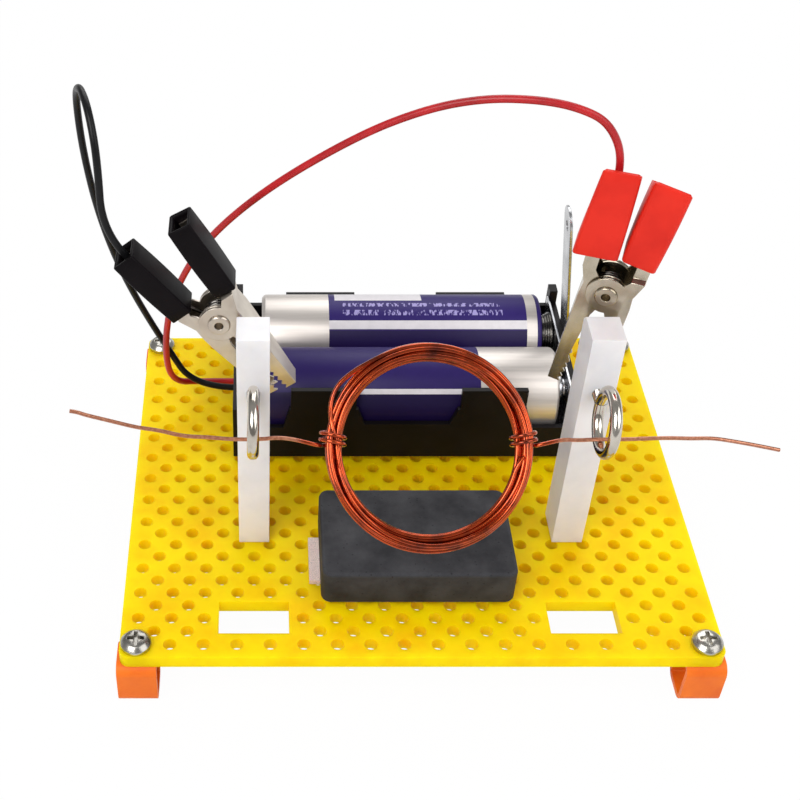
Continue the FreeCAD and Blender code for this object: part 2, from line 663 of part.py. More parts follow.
# ---------------------------------------------------------------- battery holder
def make_holder():
    body = new_body("battery_holder")
    outline = new_sketch(body, "XY_Plane", "HolderOutline")
    add_rectangle(outline, "0", "0", HOLDER_LENGTH, HOLDER_WIDTH)
    pad(body, outline, "end_height")
    cavity = new_sketch(body, "XY_Plane", "HolderCavity")
    cavity.AttachmentOffset = Placement(Vector(0, 0, 1), Rotation())
    cavity.setExpression("AttachmentOffset.Base.z", linked("holder_floor"))
    add_rectangle(cavity, "0", "0", HOLDER_INSIDE, "%s - 2 * side_wall" % HOLDER_WIDTH)
    pocket(body, cavity, "end_height", reverse=True)
    # the front wall drops to low ends and a shallow middle recess
    reach = "(%s / 2)" % HOLDER_INSIDE
    front = new_sketch(body, "XZ_Plane", "FrontWallCuts")
    for side in (-1, 1):
        add_polygon(front, [
            ("%d * front_clamp_outer" % side, "end_height + 1"),
            ("%d * (front_clamp_outer + 1.2)" % side, "low_height"),
            ("%d * %s" % (side, reach), "low_height"),
            ("%d * %s" % (side, reach), "end_height + 1"),
        ])
    add_polygon(front, [
        ("-front_clamp_inner", "end_height + 1"),
        ("1.5 - front_clamp_inner", "recess_height"),
        ("front_clamp_inner - 1.5", "recess_height"),
        ("front_clamp_inner", "end_height + 1"),
    ])
    pocket(body, front, HOLDER_WIDTH, reverse=True)
    back = new_sketch(body, "XZ_Plane", "BackWallCuts")
    for side in (-1, 1):
        add_polygon(back, [
            ("%d * back_clamp_outer" % side, "end_height + 1"),
            ("%d * (back_clamp_outer + 1)" % side, "back_height"),
            ("%d * %s" % (side, reach), "back_height"),
            ("%d * %s" % (side, reach), "end_height + 1"),
        ])
    add_polygon(back, [
        ("-back_clamp_inner", "end_height + 1"),
        ("1 - back_clamp_inner", "back_height"),
        ("back_clamp_inner - 1", "back_height"),
        ("back_clamp_inner", "end_height + 1"),
    ])
    pocket(body, back, HOLDER_WIDTH)
    # clamps that hold the cells down, corner lugs and the rib between the cells
    for name, end in (("front", -1), ("back", 1)):
        clamps = new_sketch(body, "XY_Plane", name.title() + "Clamps")
        for side in (-1, 1):
            add_rectangle(clamps, "%d * (%s_clamp_inner + %s_clamp_outer) / 2" % (side, name, name),
                          "%d * (%s - side_wall) / 2" % (end, HOLDER_WIDTH),
                          "%s_clamp_outer - %s_clamp_inner" % (name, name), "side_wall")
        pad(body, clamps, name + "_clamp_height")
    lugs = new_sketch(body, "XY_Plane", "CornerLugs")
    for side in (-1, 1):
        add_rectangle(lugs, "%d * (%s - end_wall) / 2" % (side, HOLDER_LENGTH),
                      "%s / 2 - lug_width / 2" % HOLDER_WIDTH, "end_wall", "lug_width")
    pad(body, lugs, "lug_height")
    rib = new_sketch(body, "XY_Plane", "CellRib")
    add_rectangle(rib, "0", "0", "%s - 4 * contact_thickness" % HOLDER_INSIDE, "rib_width")
    pad(body, rib, "holder_floor + rib_height")
    exits = new_sketch(body, "YZ_Plane", "LeadExits")
    for lead in ("black", "red"):
        along, height = LEAD_EXITS[lead]
        add_circle(exits, along, "%s - %s" % (height, TAPE_TOP), "lead_diameter + lead_clearance")
    pocket(body, exits, HOLDER_LENGTH)
    keep(put(body, x="holder_shift", y="holder_row", z=TAPE_TOP))
    keep(make_block("holder_tape", "holder_tape_length", "tape_width", "tape_thickness",
                    "holder_shift", "holder_row", PLATE_TOP))


# where each lead leaves the holder's left end: along Y from its centre, and height
LEAD_EXITS = {
    "black": ("-1.9", "%s + holder_floor + 2.6" % TAPE_TOP),
    "red": ("1.7", "%s + holder_floor + 1.0" % TAPE_TOP),
}


def make_cell(label, end, facing):
    """One cell and its button; facing is 1 with the button to the right."""
    left = "(holder_shift - %s / 2)" % HOLDER_INSIDE
    right = "(holder_shift + %s / 2)" % HOLDER_INSIDE
    if facing > 0:
        flat_end = "(%s - contact_thickness - front_dimple - button_height - cell_length)" % right
    else:
        flat_end = "(%s + contact_thickness + rear_dimple + button_height + cell_length)" % left
    body = new_body(label)
    profile = new_sketch(body, "XZ_Plane", "CellProfile")
    add_polygon(profile, [
        ("0", "0"),
        ("cell_diameter / 2 - cell_shoulder", "0"),
        ("cell_diameter / 2", "cell_shoulder"),
        ("cell_diameter / 2", "cell_length - cell_shoulder"),
        ("cell_diameter / 2 - cell_shoulder", "cell_length"),
        ("0", "cell_length"),
    ])
    revolve(body, profile, "V_Axis")
    along = "holder_row + %d * %s" % (end, CELL_OFFSET)
    keep(put(body, x=flat_end, y=along, z=CELL_Z, pitch="%d * 90" % facing))
    button = doc.addObject("Part::Cylinder", label + "_button")
    button.Label = label + "_button"
    bind(button, Radius="button_diameter / 2", Height="button_height")
    keep(put(button, x="%s + %d * cell_length" % (flat_end, facing), y=along, z=CELL_Z,
             pitch="%d * 90" % facing))


def make_contact_plate(label, side, first, last, dimple_row, dimple):
    """A contact plate against an end wall, with a dimple towards the cells or none."""
    body = new_body(label)
    outline = new_sketch(body, "YZ_Plane", "PlateOutline")
    add_polygon(outline, [(first, "0"), (last, "0"), (last, "contact_height"),
                          (first, "contact_height")])
    pad(body, outline, "contact_thickness", upside_down=side > 0)
    if dimple:
        bump = new_sketch(body, "YZ_Plane", "Dimple")
        add_circle(bump, dimple_row, "%s - (%s + holder_floor)" % (CELL_Z, TAPE_TOP),
                   "dimple_diameter")
        pad(body, bump, "contact_thickness + " + dimple, upside_down=side > 0)
    keep(put(body, x="holder_shift + %d * %s / 2" % (side, HOLDER_INSIDE), y="holder_row",
             z="%s + holder_floor" % TAPE_TOP))


def make_contact_spring(label, turns, length, x, y, facing):
    """A coiled contact spring that narrows from its plate to the cell."""
    body = new_body(label)
    profile = new_sketch(body, "XZ_Plane", "SpringProfile")
    count = int(number(turns))
    outline = []
    for step in range(2 * count + 1):
        share = step / (2.0 * count)
        crest = "0" if step % 2 else "spring_wire / 2"
        outline.append(("spring_wide / 2 - spring_wire / 2 + %s"
                        " + (spring_narrow - spring_wide) / 2 * %g" % (crest, share),
                        "(%s) * %g" % (length, share)))
    outline.append(("spring_narrow / 2 - spring_wire", length))
    outline.append(("spring_wide / 2 - spring_wire", "0"))
    add_polygon(profile, outline)
    revolve(body, profile, "V_Axis")
    keep(put(body, x=x, y=y, z=CELL_Z, pitch="%d * 90" % facing))


def make_strip():
    """The tall contact strip that stands on the holder's right end wall."""
    body = new_body("contact_strip")
    side = new_sketch(body, "XZ_Plane", "StripSide")
    lean = "(strip_top - end_height) * tan(strip_lean)"
    add_polygon(side, [
        ("0", "strip_bottom"),
        ("strip_thickness", "strip_bottom"),
        ("strip_thickness", "end_height + 0.4"),
        ("strip_thickness - " + lean, "strip_top"),
        ("-" + lean, "strip_top"),
        ("0", "end_height + 0.4"),
    ])
    pad(body, side, "strip_width", midplane=True)
    round_top = new_sketch(body, "YZ_Plane", "StripTop")
    half = "strip_width / 2"
    for end in (-1, 1):
        corner = []
        for angle in (0, 30, 60, 90):
            corner.append(("%d * %s * cos(%d)" % (end, half, angle),
                           "strip_top - %s + %s * sin(%d)" % (half, half, angle)))
        corner.append(("%d * %s" % (end, half), "strip_top"))
        add_polygon(round_top, [corner[0], corner[1], corner[2], corner[3],
                                ("0", "strip_top + 1"), ("%d * (%s + 1)" % (end, half), "strip_top + 1"),
                                ("%d * (%s + 1)" % (end, half), "strip_top - " + half)])
    pocket(body, round_top, "3 * strip_top", midplane=True)
    hole = new_sketch(body, "YZ_Plane", "StripHole")
    add_circle(hole, "0", "strip_top - strip_hole_drop", "strip_hole")
    pocket(body, hole, "3 * strip_top", midplane=True)
    keep(put(body, x="holder_shift + %s / 2" % HOLDER_LENGTH, y="holder_row + strip_back",
             z=TAPE_TOP))


def make_battery():
    make_holder()
    make_cell("front_cell", -1, 1)
    make_cell("rear_cell", 1, -1)
    inside = "(%s / 2 - side_wall - contact_margin)" % HOLDER_WIDTH
    middle = "(rib_width / 2 + 0.2)"
    make_contact_plate("negative_plate", -1, "-" + inside, "-" + middle, "0", None)
    make_contact_plate("positive_plate", -1, middle, inside, CELL_OFFSET, "rear_dimple")
    make_contact_plate("link_plate", 1, "-" + inside, inside, "-" + CELL_OFFSET, "front_dimple")
    left = "(holder_shift - %s / 2 + contact_thickness)" % HOLDER_INSIDE
    right = "(holder_shift + %s / 2 - contact_thickness)" % HOLDER_INSIDE
    spare = "(%s - 2 * contact_thickness - button_height - cell_length)" % HOLDER_INSIDE
    make_contact_spring("negative_spring", "front_spring_turns", "%s - front_dimple" % spare,
                        left, "holder_row - " + CELL_OFFSET, 1)
    make_contact_spring("link_spring", "rear_spring_turns", "%s - rear_dimple" % spare,
                        right, "holder_row + " + CELL_OFFSET, -1)
    make_strip()


# ------------------------------------------------------------------------- clips
INNER_WIDTH = "(clip_width - 2 * clip_sheet - 2 * clip_play)"
INNER_TIP = "(jaw_tip_width - 2 * clip_sheet - 2 * clip_play)"
HANDLE_MIDDLE = "(handle_reach - handle_depth / 2)"
SHOULDER_MIDDLE = "(shoulder_reach - handle_depth / 2)"
HANDLE_SLOPE = "(atan((handle_reach - shoulder_reach) / (handle_rise - shoulder_rise)) / 1deg)"


def lever_side(side, jaw):
    """Side outline of a lever with a toothed jaw of a length, back, shoulder and handle."""
    edge = "jaw_edge_gap"
    teeth = 4
    outline = []
    for tooth in range(teeth):
        outline.append((edge, "-%s + %d * tooth_pitch" % (jaw, tooth)))
        outline.append((edge + " + tooth_depth", "-%s + (%d + 0.5) * tooth_pitch" % (jaw, tooth)))
    outline.append((edge, "-%s + %d * tooth_pitch" % (jaw, teeth)))
    outline.append((edge + " + jaw_relief", "-%s + %d * tooth_pitch" % (jaw, teeth + 1)))
    outline.append((edge + " + jaw_relief", "-ear_radius - 1.5"))
    outline.append((edge, "-ear_radius * 0.8"))
    outline.append((edge, "0"))
    outline.append(("shoulder_reach - handle_depth", "shoulder_rise"))
    outline.append(("handle_reach - handle_depth", "handle_rise"))
    outline.append(("handle_reach", "handle_rise"))
    outline.append(("shoulder_reach", "shoulder_rise"))
    outline.append(("back_reach", "0.5"))
    outline.append(("back_reach", "-1.5"))
    outline.append((edge + " + jaw_tip_depth", "-" + jaw))
    return [("%d * (%s)" % (side, across), along) for across, along in outline]


def plan_trims(sketch, jaw, width, tip_width, narrower):
    """Two outlines outside the plan of a lever: narrow tip, wide ears, handle."""
    for end in (-1, 1):
        half = "(%s / 2 - %s)" % (width, narrower)
        tip = "(%s / 2 - %s)" % (tip_width, narrower)
        grip = "(handle_width / 2 - %s)" % narrower
        outline = [
            (tip, "-%s - 1" % jaw),
            (half, "-ear_radius - 1"),
            (half, "ear_radius + 0.2"),
            (grip, "shoulder_rise + 0.4"),
            (grip, "handle_rise + 2"),
            ("clip_width", "handle_rise + 2"),
            ("clip_width", "-%s - 1" % jaw),
        ]
        add_polygon(sketch, [("%d * (%s)" % (end, across), along) for across, along in outline])


def make_lever(label, side, jaw, width, tip_width):
    """A pressed lever: a channel with two cheeks, a back, a jaw and a handle."""
    body = new_body(label + "_blank")
    profile = new_sketch(body, "XZ_Plane", "LeverSide")
    add_polygon(profile, lever_side(side, jaw))
    pad(body, profile, width, midplane=True)
    ear = new_sketch(body, "XZ_Plane", "Ear")
    add_circle(ear, "0", "0", "2 * ear_radius")
    pad(body, ear, width, midplane=True)
    trims = new_sketch(body, "YZ_Plane", "LeverPlan")
    plan_trims(trims, jaw, width, tip_width, "0")
    pocket(body, trims, "6 * handle_reach", midplane=True)
    hole = new_sketch(body, "XZ_Plane", "RivetHole")
    add_circle(hole, "0", "0", "rivet_diameter + rivet_clearance")
    pocket(body, hole, "2 * clip_width", midplane=True)

    hollow = new_body(label + "_hollow")
    profile = new_sketch(hollow, "XZ_Plane", "HollowSide")
    open_side = "-3 * back_reach"
    outline = [
        (open_side, "-%s - 1" % jaw),
        ("jaw_edge_gap + jaw_tip_depth - clip_sheet", "-%s - 1" % jaw),
        ("jaw_edge_gap + jaw_tip_depth - clip_sheet", "-" + jaw),
        ("back_reach - clip_sheet", "-1.5"),
        ("back_reach - clip_sheet", "0.5"),
        ("shoulder_reach - clip_sheet", "shoulder_rise"),
        ("handle_reach - clip_sheet", "handle_rise"),
        ("handle_reach - clip_sheet", "handle_rise + 1"),
        (open_side, "handle_rise + 1"),
    ]
    add_polygon(profile, [("%d * (%s)" % (side, across), along) for across, along in outline])
    pad(hollow, profile, "%s - 2 * clip_sheet" % width, midplane=True)
    trims = new_sketch(hollow, "YZ_Plane", "HollowPlan")
    plan_trims(trims, jaw, width, tip_width, "clip_sheet")
    pocket(hollow, trims, "8 * handle_reach", midplane=True)
    return boolean("Cut", label, body, hollow)


def make_rivet(label):
    """A hollow rivet along Y with a rolled flange at each end."""
    body = new_body(label)
    profile = new_sketch(body, "XY_Plane", "RivetProfile")
    seat = "(clip_width / 2 + flange_gap)"
    end = "(clip_width / 2 + flange_gap + flange_height)"
    add_polygon(profile, [
        ("rivet_bore / 2", "-" + end),
        ("flange_diameter / 2 - 0.2", "-" + end),
        ("flange_diameter / 2", "-" + seat),
        ("rivet_diameter / 2", "-" + seat),
        ("rivet_diameter / 2", seat),
        ("flange_diameter / 2", seat),
        ("flange_diameter / 2 - 0.2", end),
        ("rivet_bore / 2", end),
    ])
    revolve(body, profile, "V_Axis")
    return body


def make_clip_spring(label, opening):
    """The torsion spring: a close coil round the rivet and a leg to each handle."""
    coil = new_body(label + "_coil")
    profile = new_sketch(coil, "XY_Plane", "SpringProfile")
    count = int(number("clip_spring_turns"))
    length = "(clip_spring_turns * clip_spring_wire)"
    outline = []
    for step in range(2 * count + 1):
        crest = "0" if step % 2 else "-clip_spring_wire * 0.3"
        outline.append(("clip_spring_diameter / 2 + " + crest,
                        "%s * %g" % (length, step / (2.0 * count) - 0.5)))
    outline.append(("clip_spring_diameter / 2 - clip_spring_wire", length + " / 2"))
    outline.append(("clip_spring_diameter / 2 - clip_spring_wire", "-" + length + " / 2"))
    add_polygon(profile, outline)
    revolve(coil, profile, "V_Axis")
    pieces = [coil]
    for side in (-1, 1):
        leg = doc.addObject("Part::Cylinder", label + "_leg")
        reach = "(clip_spring_diameter / 2 - clip_spring_wire / 2)"
        across = "(shoulder_reach - clip_sheet - clip_spring_wire / 2 - 0.15)"
        bind(leg, Radius="clip_spring_wire / 2",
             Height="sqrt((%s - %s) ^ 2 + shoulder_rise ^ 2)" % (across, reach))
        # the leg leans with its handle, which the gripped stem holds open
        put(leg, x="%d * %s" % (side, reach),
            y="%d * (%s / 2 - clip_spring_wire / 2)" % (side, length),
            pitch="%d * (atan((%s - %s) / shoulder_rise) / 1deg - %s)" % (side, across, reach, opening))
        pieces.append(leg)
    return fuse(label, pieces)


def make_sleeve(label, side, colour):
    """An insulating sleeve pushed over a handle, open at both ends."""
    length = colour + "_sleeve_length"
    depth = colour + "_sleeve_depth"
    body = new_body(label)
    if colour == "black":
        outline = new_sketch(body, "XY_Plane", "SleeveOutline")
        add_rectangle(outline, "0", "0", depth, "black_sleeve_width")
        pad(body, outline, length)
    else:
        low = new_sketch(body, "XY_Plane", "SleeveFoot")
        add_rectangle(low, "0", "0", depth, "red_sleeve_width")
        high = new_sketch(body, "XY_Plane", "SleeveEnd")
        add_rectangle(high, "0", "0", "red_sleeve_top_depth", "red_sleeve_top_width")
        high.setExpression("AttachmentOffset.Base.z", linked(length))
        doc.recompute()
        loft = body.newObject("PartDesign::AdditiveLoft", "Loft")
        loft.Profile = low
        loft.Sections = [high]
        doc.recompute()
    bore = new_sketch(body, "XY_Plane", "SleeveBore")
    add_rectangle(bore, "0", "0", "handle_depth + sleeve_room", "handle_width + sleeve_fit")
    pocket(body, bore, length, reverse=True)
    return body


def sleeve_place(side, colour):
    """Local place of a sleeve's near end on its handle, before the clip opens."""
    start = colour + "_sleeve_start"
    across = "(%s + (%s - shoulder_rise) * tan(%s))" % (SHOULDER_MIDDLE, start, HANDLE_SLOPE)
    return "(%d * %s)" % (side, across), start, "(%d * %s)" % (side, HANDLE_SLOPE)


def stem_need(turn, width):
    """Half opening that the stem needs when it crosses the jaws at an angle."""
    half = "(shank_diameter / 2 + grip_clearance)"
    return "(%s / cos(%s) + %s / 2 * abs(tan(%s)))" % (half, turn, width, turn)


CLIPS = {
    "left": {"side": -1, "lean": "-left_clip_lean", "turn": "0", "grip": "left_grip",
             "row": "left_clip_row", "jaw": "left_jaw_length", "colour": "black"},
    "right": {"side": 1, "lean": "right_clip_lean", "turn": "-right_clip_turn",
              "grip": "right_grip", "row": "right_clip_row", "jaw": "right_jaw_length",
              "colour": "red"},
}


def clip_frame(clip):
    """Expressions of a clip's pivot, lean, turn and jaw opening."""
    lean, turn, grip = clip["lean"], clip["turn"], clip["grip"]
    share = "((%s - %s) / (%s - ear_radius))" % (clip["jaw"], grip, clip["jaw"])
    width = "(clip_width + (jaw_tip_width - clip_width) * (1 - %s))" % share
    need = stem_need(turn, width)
    opening = "(asin((%s - jaw_edge_gap - jaw_relief) / %s) / 1deg)" % (need, grip)
    x = "(%d * post_spacing / 2 + %s * sin(%s) * cos(%s))" % (clip["side"], grip, lean, turn)
    y = "(-%s + %s * sin(%s) * sin(%s))" % (clip["row"], grip, lean, turn)
    z = "(%s + %s * cos(%s))" % (EYE_Z, grip, lean)
    return x, y, z, lean, turn, opening


def in_clip(frame, opening, across, rise, pitch):
    """World placement of a place given in a lever's own frame."""
    x, y, z, lean, turn, _ = frame
    tilt = "(%s + %s)" % (lean, opening)
    here = "(%s * cos(%s) + %s * sin(%s))" % (across, tilt, rise, tilt)
    return {
        "x": "%s + %s * cos(%s)" % (x, here, turn),
        "y": "%s + %s * sin(%s)" % (y, here, turn),
        "z": "%s - %s * sin(%s) + %s * cos(%s)" % (z, across, tilt, rise, tilt),
        "yaw": turn,
        "pitch": "%s + %s" % (tilt, pitch),
    }


def make_clip(name):
    clip = CLIPS[name]
    frame = clip_frame(clip)
    opening = frame[5]
    for role, side, width, tip in (("fixed", -1, INNER_WIDTH, INNER_TIP),
                                   ("moving", 1, "clip_width", "jaw_tip_width")):
        swing = "(%d * %s)" % (-side, opening)
        label = "%s_clip_%s_lever" % (name, role)
        lever = make_lever(label, side, clip["jaw"], width, tip)
        keep(put(lever, **in_clip(frame, swing, "0", "0", "0")))
        sleeve = make_sleeve("%s_clip_%s_sleeve" % (name, role), side, clip["colour"])
        keep(put(sleeve, **in_clip(frame, swing, *sleeve_place(side, clip["colour"]))))
    keep(put(make_rivet(name + "_clip_rivet"), **in_clip(frame, "0", "0", "0", "0")))
    keep(put(make_clip_spring(name + "_clip_spring", opening), **in_clip(frame, "0", "0", "0", "0")))


def sleeve_point(name, rise):
    """A point on the middle line of a clip's fixed handle, at a rise in its frame."""
    frame = clip_frame(CLIPS[name])
    rise = "(%s)" % rise
    across = "(-1 * (%s + (%s - shoulder_rise) * tan(%s)))" % (SHOULDER_MIDDLE, rise, HANDLE_SLOPE)
    place = in_clip(frame, frame[5], across, rise, "0")
    return Vector(number(place["x"]), number(place["y"]), number(place["z"]))


# ------------------------------------------------------------------------- leads
def make_lead(label, colour, clip, first_reach, route):
    """A lead from its contact plate, through the end wall, to a clip's fixed handle."""
    along, height = LEAD_EXITS[colour]
    inside = number("holder_shift - %s / 2 - lead_gap" % HOLDER_INSIDE)
    start = Vector(inside, number("holder_row + " + along), number(height))
    mouth = sleeve_point(clip, "%s_sleeve_start + %s_sleeve_length + lead_reach" % (colour, colour))
    end = sleeve_point(clip, "handle_rise + lead_gap")
    outside = Vector(first_reach, start.y, start.z)
    points = [start, outside] + route + [mouth, end]
    keep(keep_tube(label, points, number("lead_diameter")))


def make_leads():
    floor = number(PLATE_TOP)
    red_route = [
        Vector(-39.6, 17.6, floor + 6.3),
        Vector(-40.2, 14.8, floor + 16.3),
        Vector(-38.4, 12.8, floor + 28.4),
        Vector(-33.0, 10.2, floor + 40.8),
        Vector(-23.5, 6.8, floor + 52.6),
        Vector(-10.5, 3.3, floor + 63.7),
        Vector(-1.5, 1.0, floor + 69.2),
        Vector(5.8, -1.0, floor + 71.9),
        Vector(12.6, -2.8, floor + 72.7),
        Vector(17.8, -3.8, floor + 72.1),
        Vector(22.2, -4.2, floor + 70.0),
    ]
    black_route = [
        Vector(-40.2, 16.6, floor + 15.4),
        Vector(-44.4, 14.5, floor + 27.2),
        Vector(-46.9, 12.8, floor + 36.4),
        Vector(-48.8, 11.0, floor + 46.8),
        Vector(-49.8, 9.4, floor + 58.0),
        Vector(-49.9, 8.4, floor + 67.0),
        Vector(-48.8, 4.8, floor + 70.8),
        Vector(-47.2, -0.2, floor + 70.8),
        Vector(-46.1, -3.8, floor + 67.0),
        Vector(-45.9, -4.6, floor + 61.7),
        Vector(-46.0, -4.9, floor + 56.1),
    ]
    make_lead("red_lead", "red", "right", -34.6, red_route)
    make_lead("black_lead", "black", "left", -35.6, black_route)


# ------------------------------------------------------------- build and export
make_base()
make_magnet()
make_posts()
make_armature()
make_battery()
for clip_name in CLIPS:
    make_clip(clip_name)
make_leads()
doc.recompute()

for thing in doc.Objects:
    if "Invalid" in thing.State or "Error" in thing.State:
        raise RuntimeError("%s failed to recompute: %s" % (thing.Label, thing.State))
for thing in parts:
    if thing.Shape.isNull() or not thing.Shape.isValid():
        raise RuntimeError("%s has no valid shape" % thing.Label)

os.makedirs("parts", exist_ok=True)
for thing in parts:
    thing.Shape.exportStep("parts/%s.step" % thing.Label)
print("%d sub-parts written" % len(parts))
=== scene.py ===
"""Demonstration electric motor: the looks of the part, built round its fixed frame.

A coil of enamelled wire turns between two screw eyes above a ferrite block. Two cells in a
moulded holder feed it through two spring clips, and everything stands on a perforated plate.
All lengths are in metres, in the frame of the part: X along the coil's axle, Y to the back,
Z up from the surface that the feet stand on.
"""

import json
import logging
import math
import random
from dataclasses import dataclass
from enum import Enum
from typing import Callable, Sequence

import bmesh
import bpy
from mathutils import Matrix, Vector

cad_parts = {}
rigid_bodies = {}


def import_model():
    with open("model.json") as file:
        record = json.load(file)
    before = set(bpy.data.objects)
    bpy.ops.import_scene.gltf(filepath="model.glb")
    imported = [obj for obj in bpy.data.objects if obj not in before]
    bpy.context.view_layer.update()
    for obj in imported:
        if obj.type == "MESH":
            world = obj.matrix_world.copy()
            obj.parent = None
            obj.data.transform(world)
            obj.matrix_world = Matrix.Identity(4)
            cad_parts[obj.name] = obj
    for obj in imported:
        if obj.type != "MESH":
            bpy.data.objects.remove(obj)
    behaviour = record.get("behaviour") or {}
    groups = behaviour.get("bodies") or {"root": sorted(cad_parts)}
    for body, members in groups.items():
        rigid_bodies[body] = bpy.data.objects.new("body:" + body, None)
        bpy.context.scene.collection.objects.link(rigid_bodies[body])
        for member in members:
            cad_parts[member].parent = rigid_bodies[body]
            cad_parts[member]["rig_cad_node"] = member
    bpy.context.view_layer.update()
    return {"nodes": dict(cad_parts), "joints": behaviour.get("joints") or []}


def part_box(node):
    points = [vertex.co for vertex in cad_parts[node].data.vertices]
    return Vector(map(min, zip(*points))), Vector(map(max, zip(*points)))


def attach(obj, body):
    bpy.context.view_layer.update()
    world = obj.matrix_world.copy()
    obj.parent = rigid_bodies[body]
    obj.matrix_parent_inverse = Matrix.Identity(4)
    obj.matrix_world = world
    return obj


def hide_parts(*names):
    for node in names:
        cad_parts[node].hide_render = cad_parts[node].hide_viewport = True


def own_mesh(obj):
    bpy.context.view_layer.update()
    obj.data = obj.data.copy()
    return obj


log = logging.getLogger("demonstration_motor")

MM = 0.001
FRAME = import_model()

RIGHT, BACK, UP = Vector((1, 0, 0)), Vector((0, 1, 0)), Vector((0, 0, 1))

Socket = bpy.types.NodeSocket
Pair = tuple[float, float]
Point = tuple[float, float, float]
Spread = tuple[Pair, Pair]


# ------------------------------------------------------------------ small helpers
def mm(x: float, y: float, z: float) -> Vector:
    """A point given in millimetres, as a vector in metres."""
    return Vector((x, y, z)) * MM


def srgb(code: str) -> tuple[float, float, float, float]:
    """A colour of the screen as the linear colour that shaders take.

    Args:
        code: Six hexadecimal digits, such as ``f2c200``.

    Returns:
        Red, green, blue and an alpha of 1.
    """
    shares = [int(code[i : i + 2], 16) / 255 for i in (0, 2, 4)]
    linear = [s / 12.92 if s <= 0.04045 else ((s + 0.055) / 1.055) ** 2.4 for s in shares]
    return (*linear, 1.0)


def joint_named(name: str) -> dict:
    """The frame's joint of that name, with its place and axis."""
    return next(joint for joint in FRAME["joints"] if joint["name"] == name)


def middle(node: str) -> Vector:
    """The middle of a node's box."""
    low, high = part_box(node)
    return (low + high) / 2


def spoke(first: Vector, second: Vector, turn: float) -> Vector:
    """The direction at a turn from one axis of a plane towards the other, in radians."""
    return first * math.cos(turn) + second * math.sin(turn)


def control_radius(radius: float, per_turn: int) -> float:
    """How far out a turn's control points stand, for a smooth curve of that radius."""
    return radius / math.cos(math.pi / per_turn)


